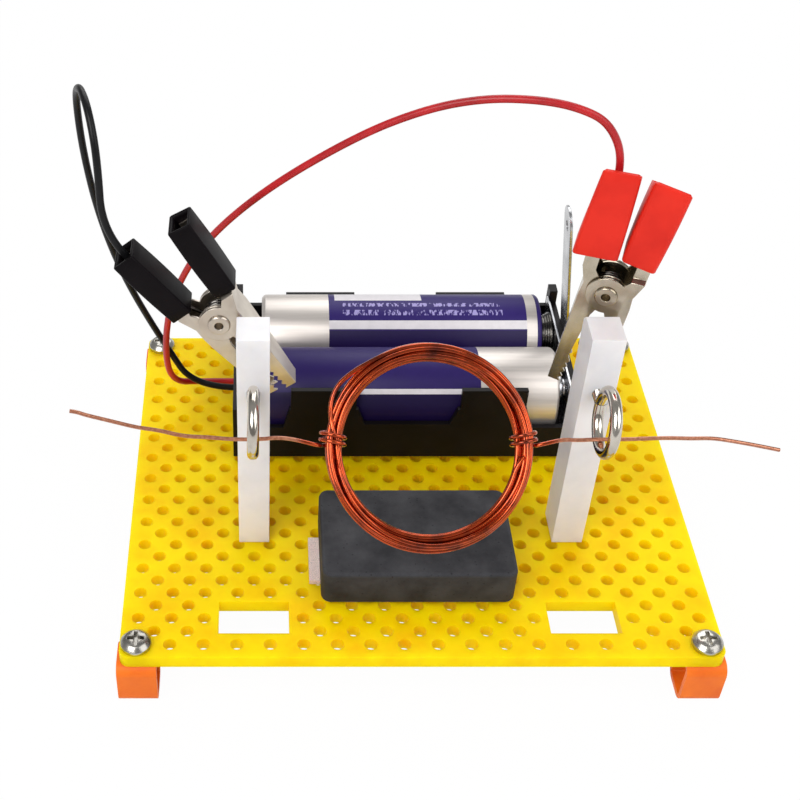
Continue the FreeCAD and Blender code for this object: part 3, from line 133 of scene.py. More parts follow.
class Board:
    """The node tree of one material, with short ways to add and join its nodes."""

    OCTAVE_SHARE = 0.55  # what each finer octave of a noise adds
    CREASE = 0.25  # 1 less the dot product of two normals at which an edge counts in full

    def __init__(self, name: str) -> None:
        """Start an empty node tree.

        Args:
            name: Name of the material.
        """
        self.material = bpy.data.materials.new(name)
        self.material.use_nodes = True
        self.tree = self.material.node_tree
        self.tree.nodes.clear()
        self.output = self.add("ShaderNodeOutputMaterial")

    def add(self, kind: str, **settings: object) -> bpy.types.Node:
        """Add a node.

        Args:
            kind: The node's type name.
            settings: Properties of the node.

        Returns:
            The new node.
        """
        node = self.tree.nodes.new(kind)
        for key, value in settings.items():
            setattr(node, key, value)
        return node

    def feed(self, node: bpy.types.Node, **values: object) -> bpy.types.Node:
        """Set sockets of a node to numbers or colours, or join them to other sockets.

        Args:
            node: The node that is fed.
            values: What goes in, by the socket's name with underscores for spaces, or by the
                letter i and its number. A text is a colour's code.

        Returns:
            The same node.
        """
        for key, value in values.items():
            socket = node.inputs[int(key[1:]) if key[1:].isdigit() else key.replace("_", " ")]
            if isinstance(value, Socket):
                self.tree.links.new(value, socket)
            else:
                socket.default_value = srgb(value) if isinstance(value, str) else value
        return node

    def place(self) -> Socket:
        """The point that is shaded, in metres in the object's own frame."""
        return self.add("ShaderNodeTexCoord").outputs["Object"]

    def parts(self) -> tuple[Socket, ...]:
        """The X, Y and Z of the point that is shaded."""
        return tuple(self.feed(self.add("ShaderNodeSeparateXYZ"), Vector=self.place()).outputs)

    def noise(self, scale: float, detail: float = 3.0, where: Socket | None = None) -> Socket:
        """A noise between 0 and 1, with a scale in lumps per metre and a detail in octaves."""
        return self.feed(self.add("ShaderNodeTexNoise"), Vector=where or self.place(), Scale=scale,
                         Detail=detail, Roughness=self.OCTAVE_SHARE).outputs["Fac"]

    def grain(self, lines: Point, detail: float = 3.0, lean: float = 0.0) -> Socket:
        """A noise that is drawn out along an axis.

        Args:
            lines: Lumps per metre along X, Y and Z.
            detail: Its octaves.
            lean: How far it is turned about Y, in radians.

        Returns:
            The noise, between 0 and 1.
        """
        node = self.add("ShaderNodeMapping", vector_type="TEXTURE")
        return self.noise(1.0, detail, self.feed(
            node, Vector=self.place(), Rotation=(0.0, lean, 0.0),
            Scale=[1 / count for count in lines]).outputs["Vector"])

    def cells(self, feature: str, scale: float, width: float) -> Socket:
        """Irregular cells that are 0 at their feature and 1 away from it.

        Args:
            feature: ``F1`` for their middles, or ``DISTANCE_TO_EDGE`` for the walls.
            scale: Cells per metre.
            width: How far from the feature they reach 1, as a share of a cell.

        Returns:
            The cells, between 0 and 1.
        """
        node = self.add("ShaderNodeTexVoronoi", feature=feature)
        return self.span(self.feed(node, Vector=self.place(), Scale=scale).outputs["Distance"],
                         0.0, width)

    def ramp(self, factor: Socket, *stops: tuple[float, str]) -> Socket:
        """Turn a factor into a colour.

        Args:
            factor: A number between 0 and 1.
            stops: Two pairs of a place and the colour's code there.

        Returns:
            The colour.
        """
        node = self.feed(self.add("ShaderNodeValToRGB"), Fac=factor)
        for element, (place, code) in zip(node.color_ramp.elements, stops):
            element.position = place
            element.color = srgb(code)
        return node.outputs["Color"]

    def math(self, operation: str, first: object, second: object = 0.0,
             third: object = 0.0) -> Socket:
        """One sum on numbers or sockets, such as ``MULTIPLY`` or ``ARCTAN2``."""
        node = self.add("ShaderNodeMath", operation=operation)
        return self.feed(node, i0=first, i1=second, i2=third).outputs[0]

    def span(self, value: object, low: float, high: float) -> Socket:
        """A value mapped so that low is 0 and high is 1, held between them."""
        node = self.add("ShaderNodeMapRange", clamp=True)
        return self.feed(node, Value=value, i1=low, i2=high, i3=0.0, i4=1.0).outputs[0]

    def fade(self, share: Socket, low: float, high: float) -> Socket:
        """A number that runs from low to high as a share runs from 0 to 1."""
        return self.math("MULTIPLY_ADD", share, high - low, low)

    def within(self, value: Socket, low: float, high: float) -> Socket:
        """1 where a value is between two bounds, and 0 elsewhere."""
        return self.math("COMPARE", value, (low + high) / 2, (high - low) / 2)

    def mix(self, share: object, first: object, second: object) -> Socket:
        """A blend of two colours, the first where the share is 0."""
        node = self.add("ShaderNodeMix", data_type="RGBA", clamp_factor=True)
        return self.feed(node, Factor=share, i6=first, i7=second).outputs[2]

    def bump(self, height: Socket, depth: float, **under: Socket) -> Socket:
        """A normal for relief of a depth in metres, over the one that is given as Normal."""
        return self.feed(self.add("ShaderNodeBump"), Height=height, Distance=depth, Strength=1.0,
                         **under).outputs["Normal"]

    def edges(self, radius: float) -> Socket:
        """How near a crease is: 0 on a flat face and towards 1 on an edge.

        Args:
            radius: How far round a point it looks, in metres.

        Returns:
            The nearness.
        """
        bevel = self.feed(self.add("ShaderNodeBevel", samples=4), Radius=radius)
        facing = self.add("ShaderNodeNewGeometry").outputs["Normal"]
        dot = self.feed(self.add("ShaderNodeVectorMath", operation="DOT_PRODUCT"),
                        i0=bevel.outputs["Normal"], i1=facing)
        return self.span(self.math("SUBTRACT", 1.0, dot.outputs["Value"]), 0.0, self.CREASE)

    def surface(self, **values: object) -> bpy.types.Material:
        """Close the tree with one principled shader.

        Args:
            values: Sockets of the shader.

        Returns:
            The finished material.
        """
        shader = self.feed(self.add("ShaderNodeBsdfPrincipled"), **values)
        self.tree.links.new(shader.outputs["BSDF"], self.output.inputs["Surface"])
        return self.material


# ----------------------------------------------------------------------- finishes
@dataclass(frozen=True)
class Finish:
    """A finish of a material slot of the part.

    Attributes:
        slot: The record's slot that the finish belongs to.
        tone: Main colour, as six hexadecimal digits.
    """

    slot: str
    tone: str

    def material(self) -> bpy.types.Material:
        """The finish's material, made once."""
        name = "_".join(("finish", self.slot, self.tone)) + self.variant()
        return bpy.data.materials.get(name) or self.paint(Board(name))

    def variant(self) -> str:
        """What tells two finishes of one slot and tone apart."""
        return ""

    def paint(self, board: Board) -> bpy.types.Material:
        """Build the node tree; each kind of finish has its own."""
        raise NotImplementedError


@dataclass(frozen=True)
class Moulded(Finish):
    """A moulded plastic or rubber, with soft mottling, moulding grain and an uneven gloss.

    Attributes:
        deep: Colour of its darker patches.
        gloss: Roughness of the skin.
        grain: Depth of the moulding grain, in metres.
        grain_scale: Lumps of the grain per metre.
        see_through: How much light goes into the plastic and comes out again.
        glow: How far that light travels, in metres.
        shine: How strongly the skin mirrors, 0.5 for common plastics.
    """

    deep: str
    gloss: float = 0.4
    grain: float = 4e-6
    grain_scale: float = 2600.0
    see_through: float = 0.0
    glow: float = 0.0015
    shine: float = 0.4

    PATCH_SCALE, WAVE_SCALE = 160.0, 420.0
    WAVE_DEPTH = 3  # depth of the skin's broad waves, in depths of the grain
    STRAY = 0.06  # how far the roughness strays
    STRAY_SPAN = 1.2  # how slowly it strays with the grain
    GLOWS = (1.0, 0.75, 0.5)  # how far red, green and blue light travels, in glows

    def paint(self, board: Board) -> bpy.types.Material:
        """Mottled colour, grain in the relief and a slightly uneven gloss.

        Args:
            board: The empty node tree.

        Returns:
            The material.
        """
        patches = board.noise(self.PATCH_SCALE, 4.0)
        fine = board.noise(self.grain_scale, 2.0)
        uneven = board.span(fine, self.gloss - self.STRAY_SPAN, self.gloss + self.STRAY_SPAN)
        waves = board.bump(board.noise(self.WAVE_SCALE, 2.0), self.grain * self.WAVE_DEPTH)
        return board.surface(
            Base_Color=board.ramp(patches, (0.25, self.deep), (0.6, self.tone)),
            Roughness=board.fade(uneven, self.gloss - self.STRAY, self.gloss + self.STRAY),
            Normal=board.bump(fine, self.grain, Normal=waves),
            Subsurface_Weight=self.see_through, Subsurface_Scale=self.glow,
            Subsurface_Radius=self.GLOWS, Specular_IOR_Level=self.shine)


@dataclass(frozen=True)
class BrightMetal(Finish):
    """A plated or bare metal with draw lines and duller patches.

    Attributes:
        dull: Colour of its duller patches.
        gloss: Roughness where it is clean.
        lines: Scratches per metre along X, Y and Z.
        lean: Turn of the scratches about Y, in radians.
    """

    dull: str
    gloss: float = 0.22
    lines: Point = (500.0, 500.0, 500.0)
    lean: float = 0.0

    PATCH_SCALE = 190.0
    LINE_SHARE = 0.16  # how much the lines tell in the tone, next to the patches
    LINE_DEPTH = 2e-6
    SMOOTHER, ROUGHER = 0.06, 0.08  # how far the roughness strays each way

    def variant(self) -> str:
        """The same metal with its scratches turned is another material."""
        return "_lean%d" % round(math.degrees(self.lean))

    def paint(self, board: Board) -> bpy.types.Material:
        """Patches and streaks of tone and gloss, with lines in the relief.

        Args:
            board: The empty node tree.

        Returns:
            The material.
        """
        patches = board.math("MULTIPLY", board.noise(self.PATCH_SCALE), 1 - self.LINE_SHARE)
        lines = board.grain(self.lines, lean=self.lean)
        streaked = board.math("MULTIPLY_ADD", lines, self.LINE_SHARE, patches)
        return board.surface(
            Base_Color=board.ramp(streaked, (0.3, self.dull), (0.62, self.tone)), Metallic=1.0,
            Roughness=board.fade(lines, self.gloss - self.SMOOTHER, self.gloss + self.ROUGHER),
            Normal=board.bump(lines, self.LINE_DEPTH))


@dataclass(frozen=True)
class Ferrite(Finish):
    """Pressed and sintered ceramic: dark grey and gritty, with rubbed edges.

    Attributes:
        sooty: Colour of its darker patches.
        rubbed: Colour where its edges are rubbed.
        hollow: Colour in its pores, which is painted shade in the pits.
    """

    sooty: str
    rubbed: str
    hollow: str

    PATCH_SCALE, GRIT_SCALE, PORE_SCALE = 240.0, 5200.0, 900.0
    GRIT_DEPTH, PORE_DEPTH = 2.2e-5, 3e-5
    PORE_WIDTH = 0.16
    RUB_WIDTH, RUB_SHARE = 0.6 * MM, 0.7

    def paint(self, board: Board) -> bpy.types.Material:
        """Grit and pores over broad sooty patches; the pores' dark colour is painted shade.

        Args:
            board: The empty node tree.

        Returns:
            The material.
        """
        pore = board.cells("F1", self.PORE_SCALE, self.PORE_WIDTH)
        rub = board.math("MULTIPLY", board.edges(self.RUB_WIDTH), self.RUB_SHARE)
        tone = board.ramp(board.noise(self.PATCH_SCALE, 5.0), (0.3, self.sooty), (0.7, self.tone))
        # The hollow colour in the pores is painted shade in the pits; the rubbed edges are wear.
        tone = board.mix(pore, self.hollow, board.mix(rub, tone, self.rubbed))
        relief = board.bump(pore, self.PORE_DEPTH)
        grit = board.bump(board.noise(self.GRIT_SCALE, 4.0), self.GRIT_DEPTH, Normal=relief)
        return board.surface(Base_Color=tone, Roughness=0.62, Normal=grit, Specular_IOR_Level=0.2)


@dataclass(frozen=True)
class EnamelledWire(Finish):
    """Copper under a clear amber enamel, which darkens along the wire in places.

    Attributes:
        dark: Colour of its darker stretches.
        scraped: Colour where the enamel is scraped off, towards the wire's two ends.
        bright: Colour of the scraper's lines there.
        scraped_from: Distance from the middle at which the bare copper starts, in metres.
    """

    dark: str
    scraped: str
    bright: str
    scraped_from: float

    STRETCH_SCALE, LINE_SCALE = 330.0, 2400.0
    LINE_DEPTH = 2e-6
    FADE = 0.8 * MM  # half the length in which the enamel ends

    def paint(self, board: Board) -> bpy.types.Material:
        """Amber copper that turns to scraped copper towards both ends of the axle.

        Args:
            board: The empty node tree.

        Returns:
            The material.
        """
        away = board.math("ABSOLUTE", board.parts()[0])
        bare = board.span(away, self.scraped_from - self.FADE, self.scraped_from + self.FADE)
        lines = board.noise(self.LINE_SCALE, 2.0)
        amber = board.ramp(board.noise(self.STRETCH_SCALE), (0.26, self.dark), (0.54, self.tone))
        copper = board.ramp(lines, (0.3, self.scraped), (0.7, self.bright))
        return board.surface(
            Base_Color=board.mix(bare, amber, copper), Metallic=0.95,
            Roughness=board.fade(bare, 0.17, 0.37), Normal=board.bump(lines, self.LINE_DEPTH),
            Coat_Weight=0.5, Coat_Roughness=0.08)


@dataclass(frozen=True)
class Foam(Finish):
    """The cut edge of a double-sided foam tape.

    Attributes:
        hollow: Colour in the grooves between its open cells, which is painted shade.
    """

    hollow: str

    CELL_SCALE, CELL_WIDTH, CELL_DEPTH = 3600.0, 0.12, 4e-5

    def paint(self, board: Board) -> bpy.types.Material:
        """Fine open cells in a soft pale foam, with painted shade in the grooves between them.

        Args:
            board: The empty node tree.

        Returns:
            The material.
        """
        walls = board.cells("DISTANCE_TO_EDGE", self.CELL_SCALE, self.CELL_WIDTH)
        # The hollow colour in the grooves between the cells is painted shade.
        return board.surface(
            Base_Color=board.ramp(walls, (0.0, self.hollow), (1.0, self.tone)), Roughness=0.85,
            Subsurface_Weight=0.25, Subsurface_Scale=0.8 * MM,
            Normal=board.bump(walls, self.CELL_DEPTH))


@dataclass(frozen=True)
class Mark:
    """A plain field of colour on a cell's jacket; most are print, and some are painted shade.

    Attributes:
        along: Where it starts and ends, as shares of the cell's length.
        turn: Where it starts and ends round the cell: 0 at the back, 0.5 on top, 1 in front.
        tone: Its colour, as six hexadecimal digits.
    """

    along: Pair
    turn: Pair = (-1.1, 1.1)
    tone: str = "e6e2e6"


@dataclass(frozen=True)
class Jacket(Finish):
    """The printed steel jacket of a cell: bare silver with plain fields of colour.

    Attributes:
        drawn: Colour of the silver's darker streaks.
        node: The cell's node, which tells where the print lies.
        marks: The fields of print and of painted shade, each over the one before.
        fine_print: Turns between which rows of tiny unreadable ticks are printed.
        fine_tone: Colour of the ticks.
        fine_along: Where the rows start and end, as shares of the cell's length.
    """

    drawn: str
    node: str
    marks: tuple[Mark, ...] = ()
    fine_print: tuple[Pair, ...] = ()
    fine_tone: str = "9c93c8"
    fine_along: Pair = (0.29, 0.86)

    STREAKS = (60.0, 1600.0, 1600.0)
    TICKS = (2600.0, 900.0, 900.0)
    SCUFFS = (300.0, 3000.0, 3000.0)
    MOTTLE_SCALE, MOTTLE_SHARE, MOTTLE_SHADE = 900.0, 0.5, 0.6
    METAL, SHINE, SCUFF_DEPTH = 0.8, 0.22, 2e-6

    def variant(self) -> str:
        """Each cell is printed differently."""
        return "_%d" % round(middle(self.node).y / MM)

    def paint(self, board: Board) -> bpy.types.Material:
        """Fields of ink and of painted shade over silver, by the place along the cell and round
        it.

        Args:
            board: The empty node tree.

        Returns:
            The material.
        """
        (start, _, _), (end, _, _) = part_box(self.node)
        axis = middle(self.node)
        x, y, z = board.parts()
        along = board.math("DIVIDE", board.math("SUBTRACT", x, start), end - start)
        angle = board.math("ARCTAN2", board.math("SUBTRACT", z, axis.z),
                           board.math("SUBTRACT", y, axis.y))
        turn = board.math("DIVIDE", angle, math.pi)
        worn = board.math("MULTIPLY", board.noise(self.MOTTLE_SCALE), self.MOTTLE_SHARE)
        tone = board.ramp(board.grain(self.STREAKS), (0.2, self.drawn), (0.6, self.tone))
        metal = self.METAL
        # The fields are print, except the darker navy ones, which are painted shade.
        for mark in self.marks:
            here = board.math("MULTIPLY", board.within(along, *mark.along),
                              board.within(turn, *mark.turn))
            shade = tuple(self.MOTTLE_SHADE * share for share in srgb(mark.tone))
            tone = board.mix(here, tone, board.mix(worn, mark.tone, shade))
            metal = board.math("MULTIPLY", metal, board.math("SUBTRACT", 1.0, here))
        for row in self.fine_print:
            ticks = board.span(board.grain(self.TICKS, 2.0), 0.5, 0.56)
            here = board.math("MULTIPLY", board.within(turn, *row),
                              board.within(along, *self.fine_along))
            tone = board.mix(board.math("MULTIPLY", here, ticks), tone, self.fine_tone)
        scuffs = board.grain(self.SCUFFS, 4.0)
        return board.surface(Base_Color=tone, Metallic=metal,
                             Roughness=board.fade(scuffs, 0.34, 0.48),
                             Normal=board.bump(scuffs, self.SCUFF_DEPTH),
                             Specular_IOR_Level=self.SHINE)


class Finishes(Enum):
    """The finishes of the part, apart from the jackets of the cells."""

    PLATE = Moulded("yellow_plate", "fdcf02", "f4b700", gloss=0.46, grain=5e-6,
                    see_through=0.75, glow=0.006, shine=0.08)
    FOOT = Moulded("orange_rubber", "e9741a", "d95f14", gloss=0.48, grain=9e-6,
                   see_through=0.18, shine=0.25)
    SCREW = BrightMetal("screw_steel", "c9c6be", "8d8a84", gloss=0.26)
    FERRITE = Ferrite("ferrite", "3a3a3d", "1f1f23", "6b6d72", "141417")
    FOAM = Foam("foam_tape", "f6ded6", "c9b7b2")
    POST = Moulded("white_plastic", "e3e2e4", "d6d6da", grain=5e-6, see_through=0.35, glow=0.003)
    EYE = BrightMetal("nickel", "d9d3c8", "a59c90", gloss=0.14)
    WIRE = EnamelledWire("enamelled_copper", "bc4613", "641f09", "a4644a", "c98a6c", 18.5 * MM)
    HOLDER = Moulded("black_plastic", "131012", "0b0809", gloss=0.42, grain=9e-6,
                     grain_scale=3600.0, shine=0.14)
    CELL_END = BrightMetal("cell_steel", "d0d0d2", "9c9da2", gloss=0.2)
    CONTACT = BrightMetal("contact_steel", "c9cacc", "8f9094", gloss=0.26,
                          lines=(400.0, 400.0, 2600.0))
    # A darker copy of the contact steel: painted shade for the dark surroundings that the springs
    # mirror.
    SPRING = BrightMetal("contact_steel", "8d8a84", "2a2826", gloss=0.14)
    LEFT_CLIP = BrightMetal("clip_steel", "d6cdc0", "b9ada0", gloss=0.3,
                            lines=(1100.0, 1100.0, 60.0), lean=math.radians(-34))
    RIGHT_CLIP = BrightMetal("clip_steel", "c9bfae", "a0957f",
                             lines=(1100.0, 1100.0, 60.0), lean=math.radians(8))
    CLIP_SPRING = BrightMetal("clip_steel", "6f6c68", "1d1b1a", gloss=0.16)
    BLACK_SLEEVE = Moulded("black_sleeve", "0f0b0e", "080507", gloss=0.42, grain=6e-6,
                           shine=0.08)
    RED_SLEEVE = Moulded("red_sleeve", "dd2b1b", "cb1f13", gloss=0.42, grain=6e-6,
                         see_through=0.12, glow=0.001, shine=0.2)
    RED_LEAD = Moulded("red_insulation", "b81a20", "8f0f16", gloss=0.36, grain=3e-6,
                       see_through=0.08, glow=0.0006)
    BLACK_LEAD = Moulded("black_insulation", "121214", "0a0a0b", gloss=0.36, grain=3e-6,
                         shine=0.2)


def dress(piece: bpy.types.Object, finish: Finish) -> None:
    """Give a piece or a node its finish's material, whose name holds the slot it comes from.

    Args:
        piece: A new piece, or a node of the frame.
        finish: The finish.
    """
    material = finish.material()
    if piece.material_slots:
        for slot in piece.material_slots:
            slot.material = material
    else:
        piece.data.materials.append(material)


def dress_nodes(names: Sequence[str], finish: Finish, rounding: float = 0.0) -> None:
    """Dress nodes of the frame, and break their sharp edges if a rounding is given.

    Args:
        names: The nodes.
        finish: Their finish.
        rounding: Width of the broken edges, in metres.
    """
    for name in names:
        node = FRAME["nodes"][name]
        dress(node, finish)
        if rounding:
            soften(node, rounding)
        log.info("node %s dressed as %s", name, finish.slot)


def soften(piece: bpy.types.Object, width: float) -> None:
    """Round the sharp edges of a piece with modifiers, which leave its own mesh alone.

    Args:
        piece: The piece.
        width: Width of the rounding, in metres.
    """
    steps = {
        "WELD": {"merge_threshold": 0.002 * MM},
        "DECIMATE": {"decimate_type": "DISSOLVE", "angle_limit": math.radians(1)},
        "BEVEL": {"width": width, "segments": 2, "limit_method": "ANGLE",
                  "angle_limit": math.radians(40)},
        "WEIGHTED_NORMAL": {"keep_sharp": True},
    }
    for kind, settings in steps.items():
        modifier = piece.modifiers.new(kind.lower(), kind)
        for key, value in settings.items():
            setattr(modifier, key, value)
    for polygon in piece.data.polygons:
        polygon.use_smooth = True


# -------------------------------------------------------------------- mesh tools
def add_piece(name: str, mesh: bpy.types.Mesh | bpy.types.Curve, body: str, finish: Finish,
              node: str | None = None) -> bpy.types.Object:
    """Put new geometry into the scene, on a body, with its finish.

    Args:
        name: Name of the piece.
        mesh: Its mesh or curve.
        body: The body that it rides on.
        finish: Its finish.
        node: The node that it stands for, if it stands for one.

    Returns:
        The piece.
    """
    piece = bpy.data.objects.new(name, mesh)
    bpy.context.scene.collection.objects.link(piece)
    dress(piece, finish)
    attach(piece, body)
    if node:
        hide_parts(node)
    log.info("piece %s rides on %s", name, body)
    return piece


def mesh_from(name: str, build: Callable[[bmesh.types.BMesh], None]) -> bpy.types.Mesh:
    """A mesh that a function fills in, shaded smooth.

    Args:
        name: Name of the mesh.
        build: Adds the vertices and faces.

    Returns:
        The mesh.
    """
    work = bmesh.new()
    build(work)
    bmesh.ops.recalc_face_normals(work, faces=work.faces)
    for face in work.faces:
        face.smooth = True
    mesh = bpy.data.meshes.new(name)
    work.to_mesh(mesh)
    work.free()
    return mesh


def turned(work: bmesh.types.BMesh, profile: Sequence[Pair], place: Matrix, sides: int) -> None:
    """Add a body turned about its own Z axis.

    Args:
        work: Where the faces go.
        profile: Pairs of radius and height, from one end to the other.
        place: From the turned body's frame to the part's.
        sides: Facets round it.
    """
    rings = []
    for radius, height in profile:
        turns = [math.tau * step / sides for step in range(sides if radius else 1)]
        rings.append([work.verts.new(place @ (spoke(RIGHT, BACK, turn) * radius + UP * height))
                      for turn in turns])
    for lower, upper in zip(rings, rings[1:]):
        for step in range(sides):
            ahead = (step + 1) % sides
            corners = [lower[step % len(lower)], lower[ahead % len(lower)],
                       upper[ahead % len(upper)], upper[step % len(upper)]]
            unique = list(dict.fromkeys(corners))
            if len(unique) > 2:
                work.faces.new(unique)


def wire_curve(name: str, lines: Sequence[Sequence[Vector]], thickness: float,
               closed: bool = False, ring: int = 4, between: int = 6) -> bpy.types.Curve:
    """Round wire along one or more smooth lines.

    Args:
        name: Name of the curve.
        lines: Control points of each line.
        thickness: Diameter of the wire.
        closed: Whether each line is a loop.
        ring: Smoothness of the wire's section.
        between: Points from one control point to the next.

    Returns:
        The curve, with the wire's thickness on it.
    """
    curve = bpy.data.curves.new(name, "CURVE")
    curve.dimensions = "3D"
    curve.bevel_depth = thickness / 2
    curve.bevel_resolution = ring
    curve.resolution_u = between
    curve.use_fill_caps = True
    for points in lines:
        spline = curve.splines.new("NURBS")
        spline.points.add(len(points) - 1)
        for knot, point in zip(spline.points, points):
            knot.co = (*point, 1.0)
        spline.order_u = 3
        spline.use_cyclic_u = closed
        spline.use_endpoint_u = not closed
    return curve


def rounded(half_x: float, half_y: float, radius: float) -> list[Pair]:
    """The outline of a rectangle with round corners.

    Args:
        half_x: Half its length along X.
        half_y: Half its length along Y.
        radius: Radius of its corners.

    Returns:
        Its points, once round.
    """
    points, steps = [], 4
    for quarter, (side_x, side_y) in enumerate(((1, 1), (-1, 1), (-1, -1), (1, -1))):
        for step in range(steps + 1):
            turn = math.pi / 2 * (quarter + step / steps)
            points.append((side_x * (half_x - radius) + radius * math.cos(turn),
                           side_y * (half_y - radius) + radius * math.sin(turn)))
    return points


def frame_along(direction: Vector, where: Vector) -> Matrix:
    """A frame whose Z axis runs along a level direction, at a place.

    Args:
        direction: The Z axis, of length 1.
        where: The frame's origin.

    Returns:
        The frame as a matrix.
    """
    guess = BACK if abs(direction.x) > 0.9 else RIGHT
    side = direction.cross(guess).normalized()
    turn = Matrix((side.cross(direction), side, direction)).transposed().to_4x4()
    return Matrix.Translation(where) @ turn


# -------------------------------------------------------------------- base plate
@dataclass
class Stand:
    """The perforated plate on its four rubber feet, with the corner screws and nuts.

    Attributes:
        corners: The four corners' names, as the nodes use them.
        rounding: Broken edges of the feet, the pan heads and the nuts.
    """

    corners: tuple[str, ...] = ("front_left", "front_right", "back_left", "back_right")
    rounding: float = 0.12 * MM

    def build(self) -> None:
        """Dress the plate, the feet and what holds them."""
        dress_nodes(["base_plate"], Finishes.PLATE.value)
        for kind, finish in (("foot_", Finishes.FOOT), ("corner_screw_", Finishes.SCREW),
                             ("corner_nut_", Finishes.SCREW)):
            dress_nodes([kind + corner for corner in self.corners], finish.value, self.rounding)


@dataclass
class Magnet:
    """The ferrite block, and the strips of foam tape under it and under the holder.

    Attributes:
        rounding: The pressed block's worn edges.
    """

    rounding: float = 0.45 * MM

    def build(self) -> None:
        """Dress the block and both tapes."""
        dress_nodes(["magnet"], Finishes.FERRITE.value, self.rounding)
        dress_nodes(["magnet_tape", "holder_tape"], Finishes.FOAM.value)


@dataclass
class Bearings:
    """The two white posts with the screw eyes that carry the axle.

    Attributes:
        sides: The two sides' names.
        post_rounding: Soft moulded edges of the posts.
        wire: Wire of an eye's ring.
        gap: Open part of the ring, in radians.
        stem: Radius of its stem.
        taper: Length of the stem's point.
        tip: Radius of the point's end.
        facets: Steps of the ring and of the stem's section.
    """

    sides: tuple[str, ...] = ("left", "right")
    post_rounding: float = 0.35 * MM
    wire: float = 1.7 * MM
    gap: float = math.radians(5)
    stem: float = 0.9 * MM
    taper: float = 1.6 * MM
    tip: float = 0.2 * MM
    facets: int = 24

    def build(self) -> None:
        """Dress the posts and their screws, and bend the eyes."""
        for side in self.sides:
            dress_nodes([side + "_post"], Finishes.POST.value, self.post_rounding)
            dress_nodes([side + "_post_screw"], Finishes.SCREW.value)
            self.eye(side + "_eye")

    def eye(self, name: str) -> None:
        """An eye bent from one wire: a ring that almost closes on its stem, and the stem.

        Args:
            name: The eye's node.
        """
        low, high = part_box(name)
        radius = (high.z - low.z - self.wire) / 2
        tilt = math.asin(max(0.0, (high.x - low.x - self.wire) / (2 * radius)))
        upright = Vector((math.sin(tilt), 0, math.cos(tilt)))
        centre = middle(name)
        centre.y = low.y + self.wire / 2 + radius
        turns = [self.gap / 2 + (math.tau - self.gap) * step / self.facets
                 for step in range(self.facets + 1)]
        outside = control_radius(radius, self.facets)
        points = [centre + spoke(BACK, upright, turn) * outside for turn in turns]
        ring = wire_curve(name + "_ring", [points], self.wire, ring=8, between=8)
        start = centre + BACK * radius
        length = high.y - start.y
        profile = ((0.0, 0.0), (self.stem, 0.0), (self.stem, length - self.taper),
                   (self.tip, length), (0.0, length))
        place = frame_along(BACK, start)
        stem = mesh_from(name + "_stem", lambda work: turned(work, profile, place, self.facets))
        for shape in (ring, stem):
            add_piece(shape.name, shape, "base", Finishes.EYE.value, name)


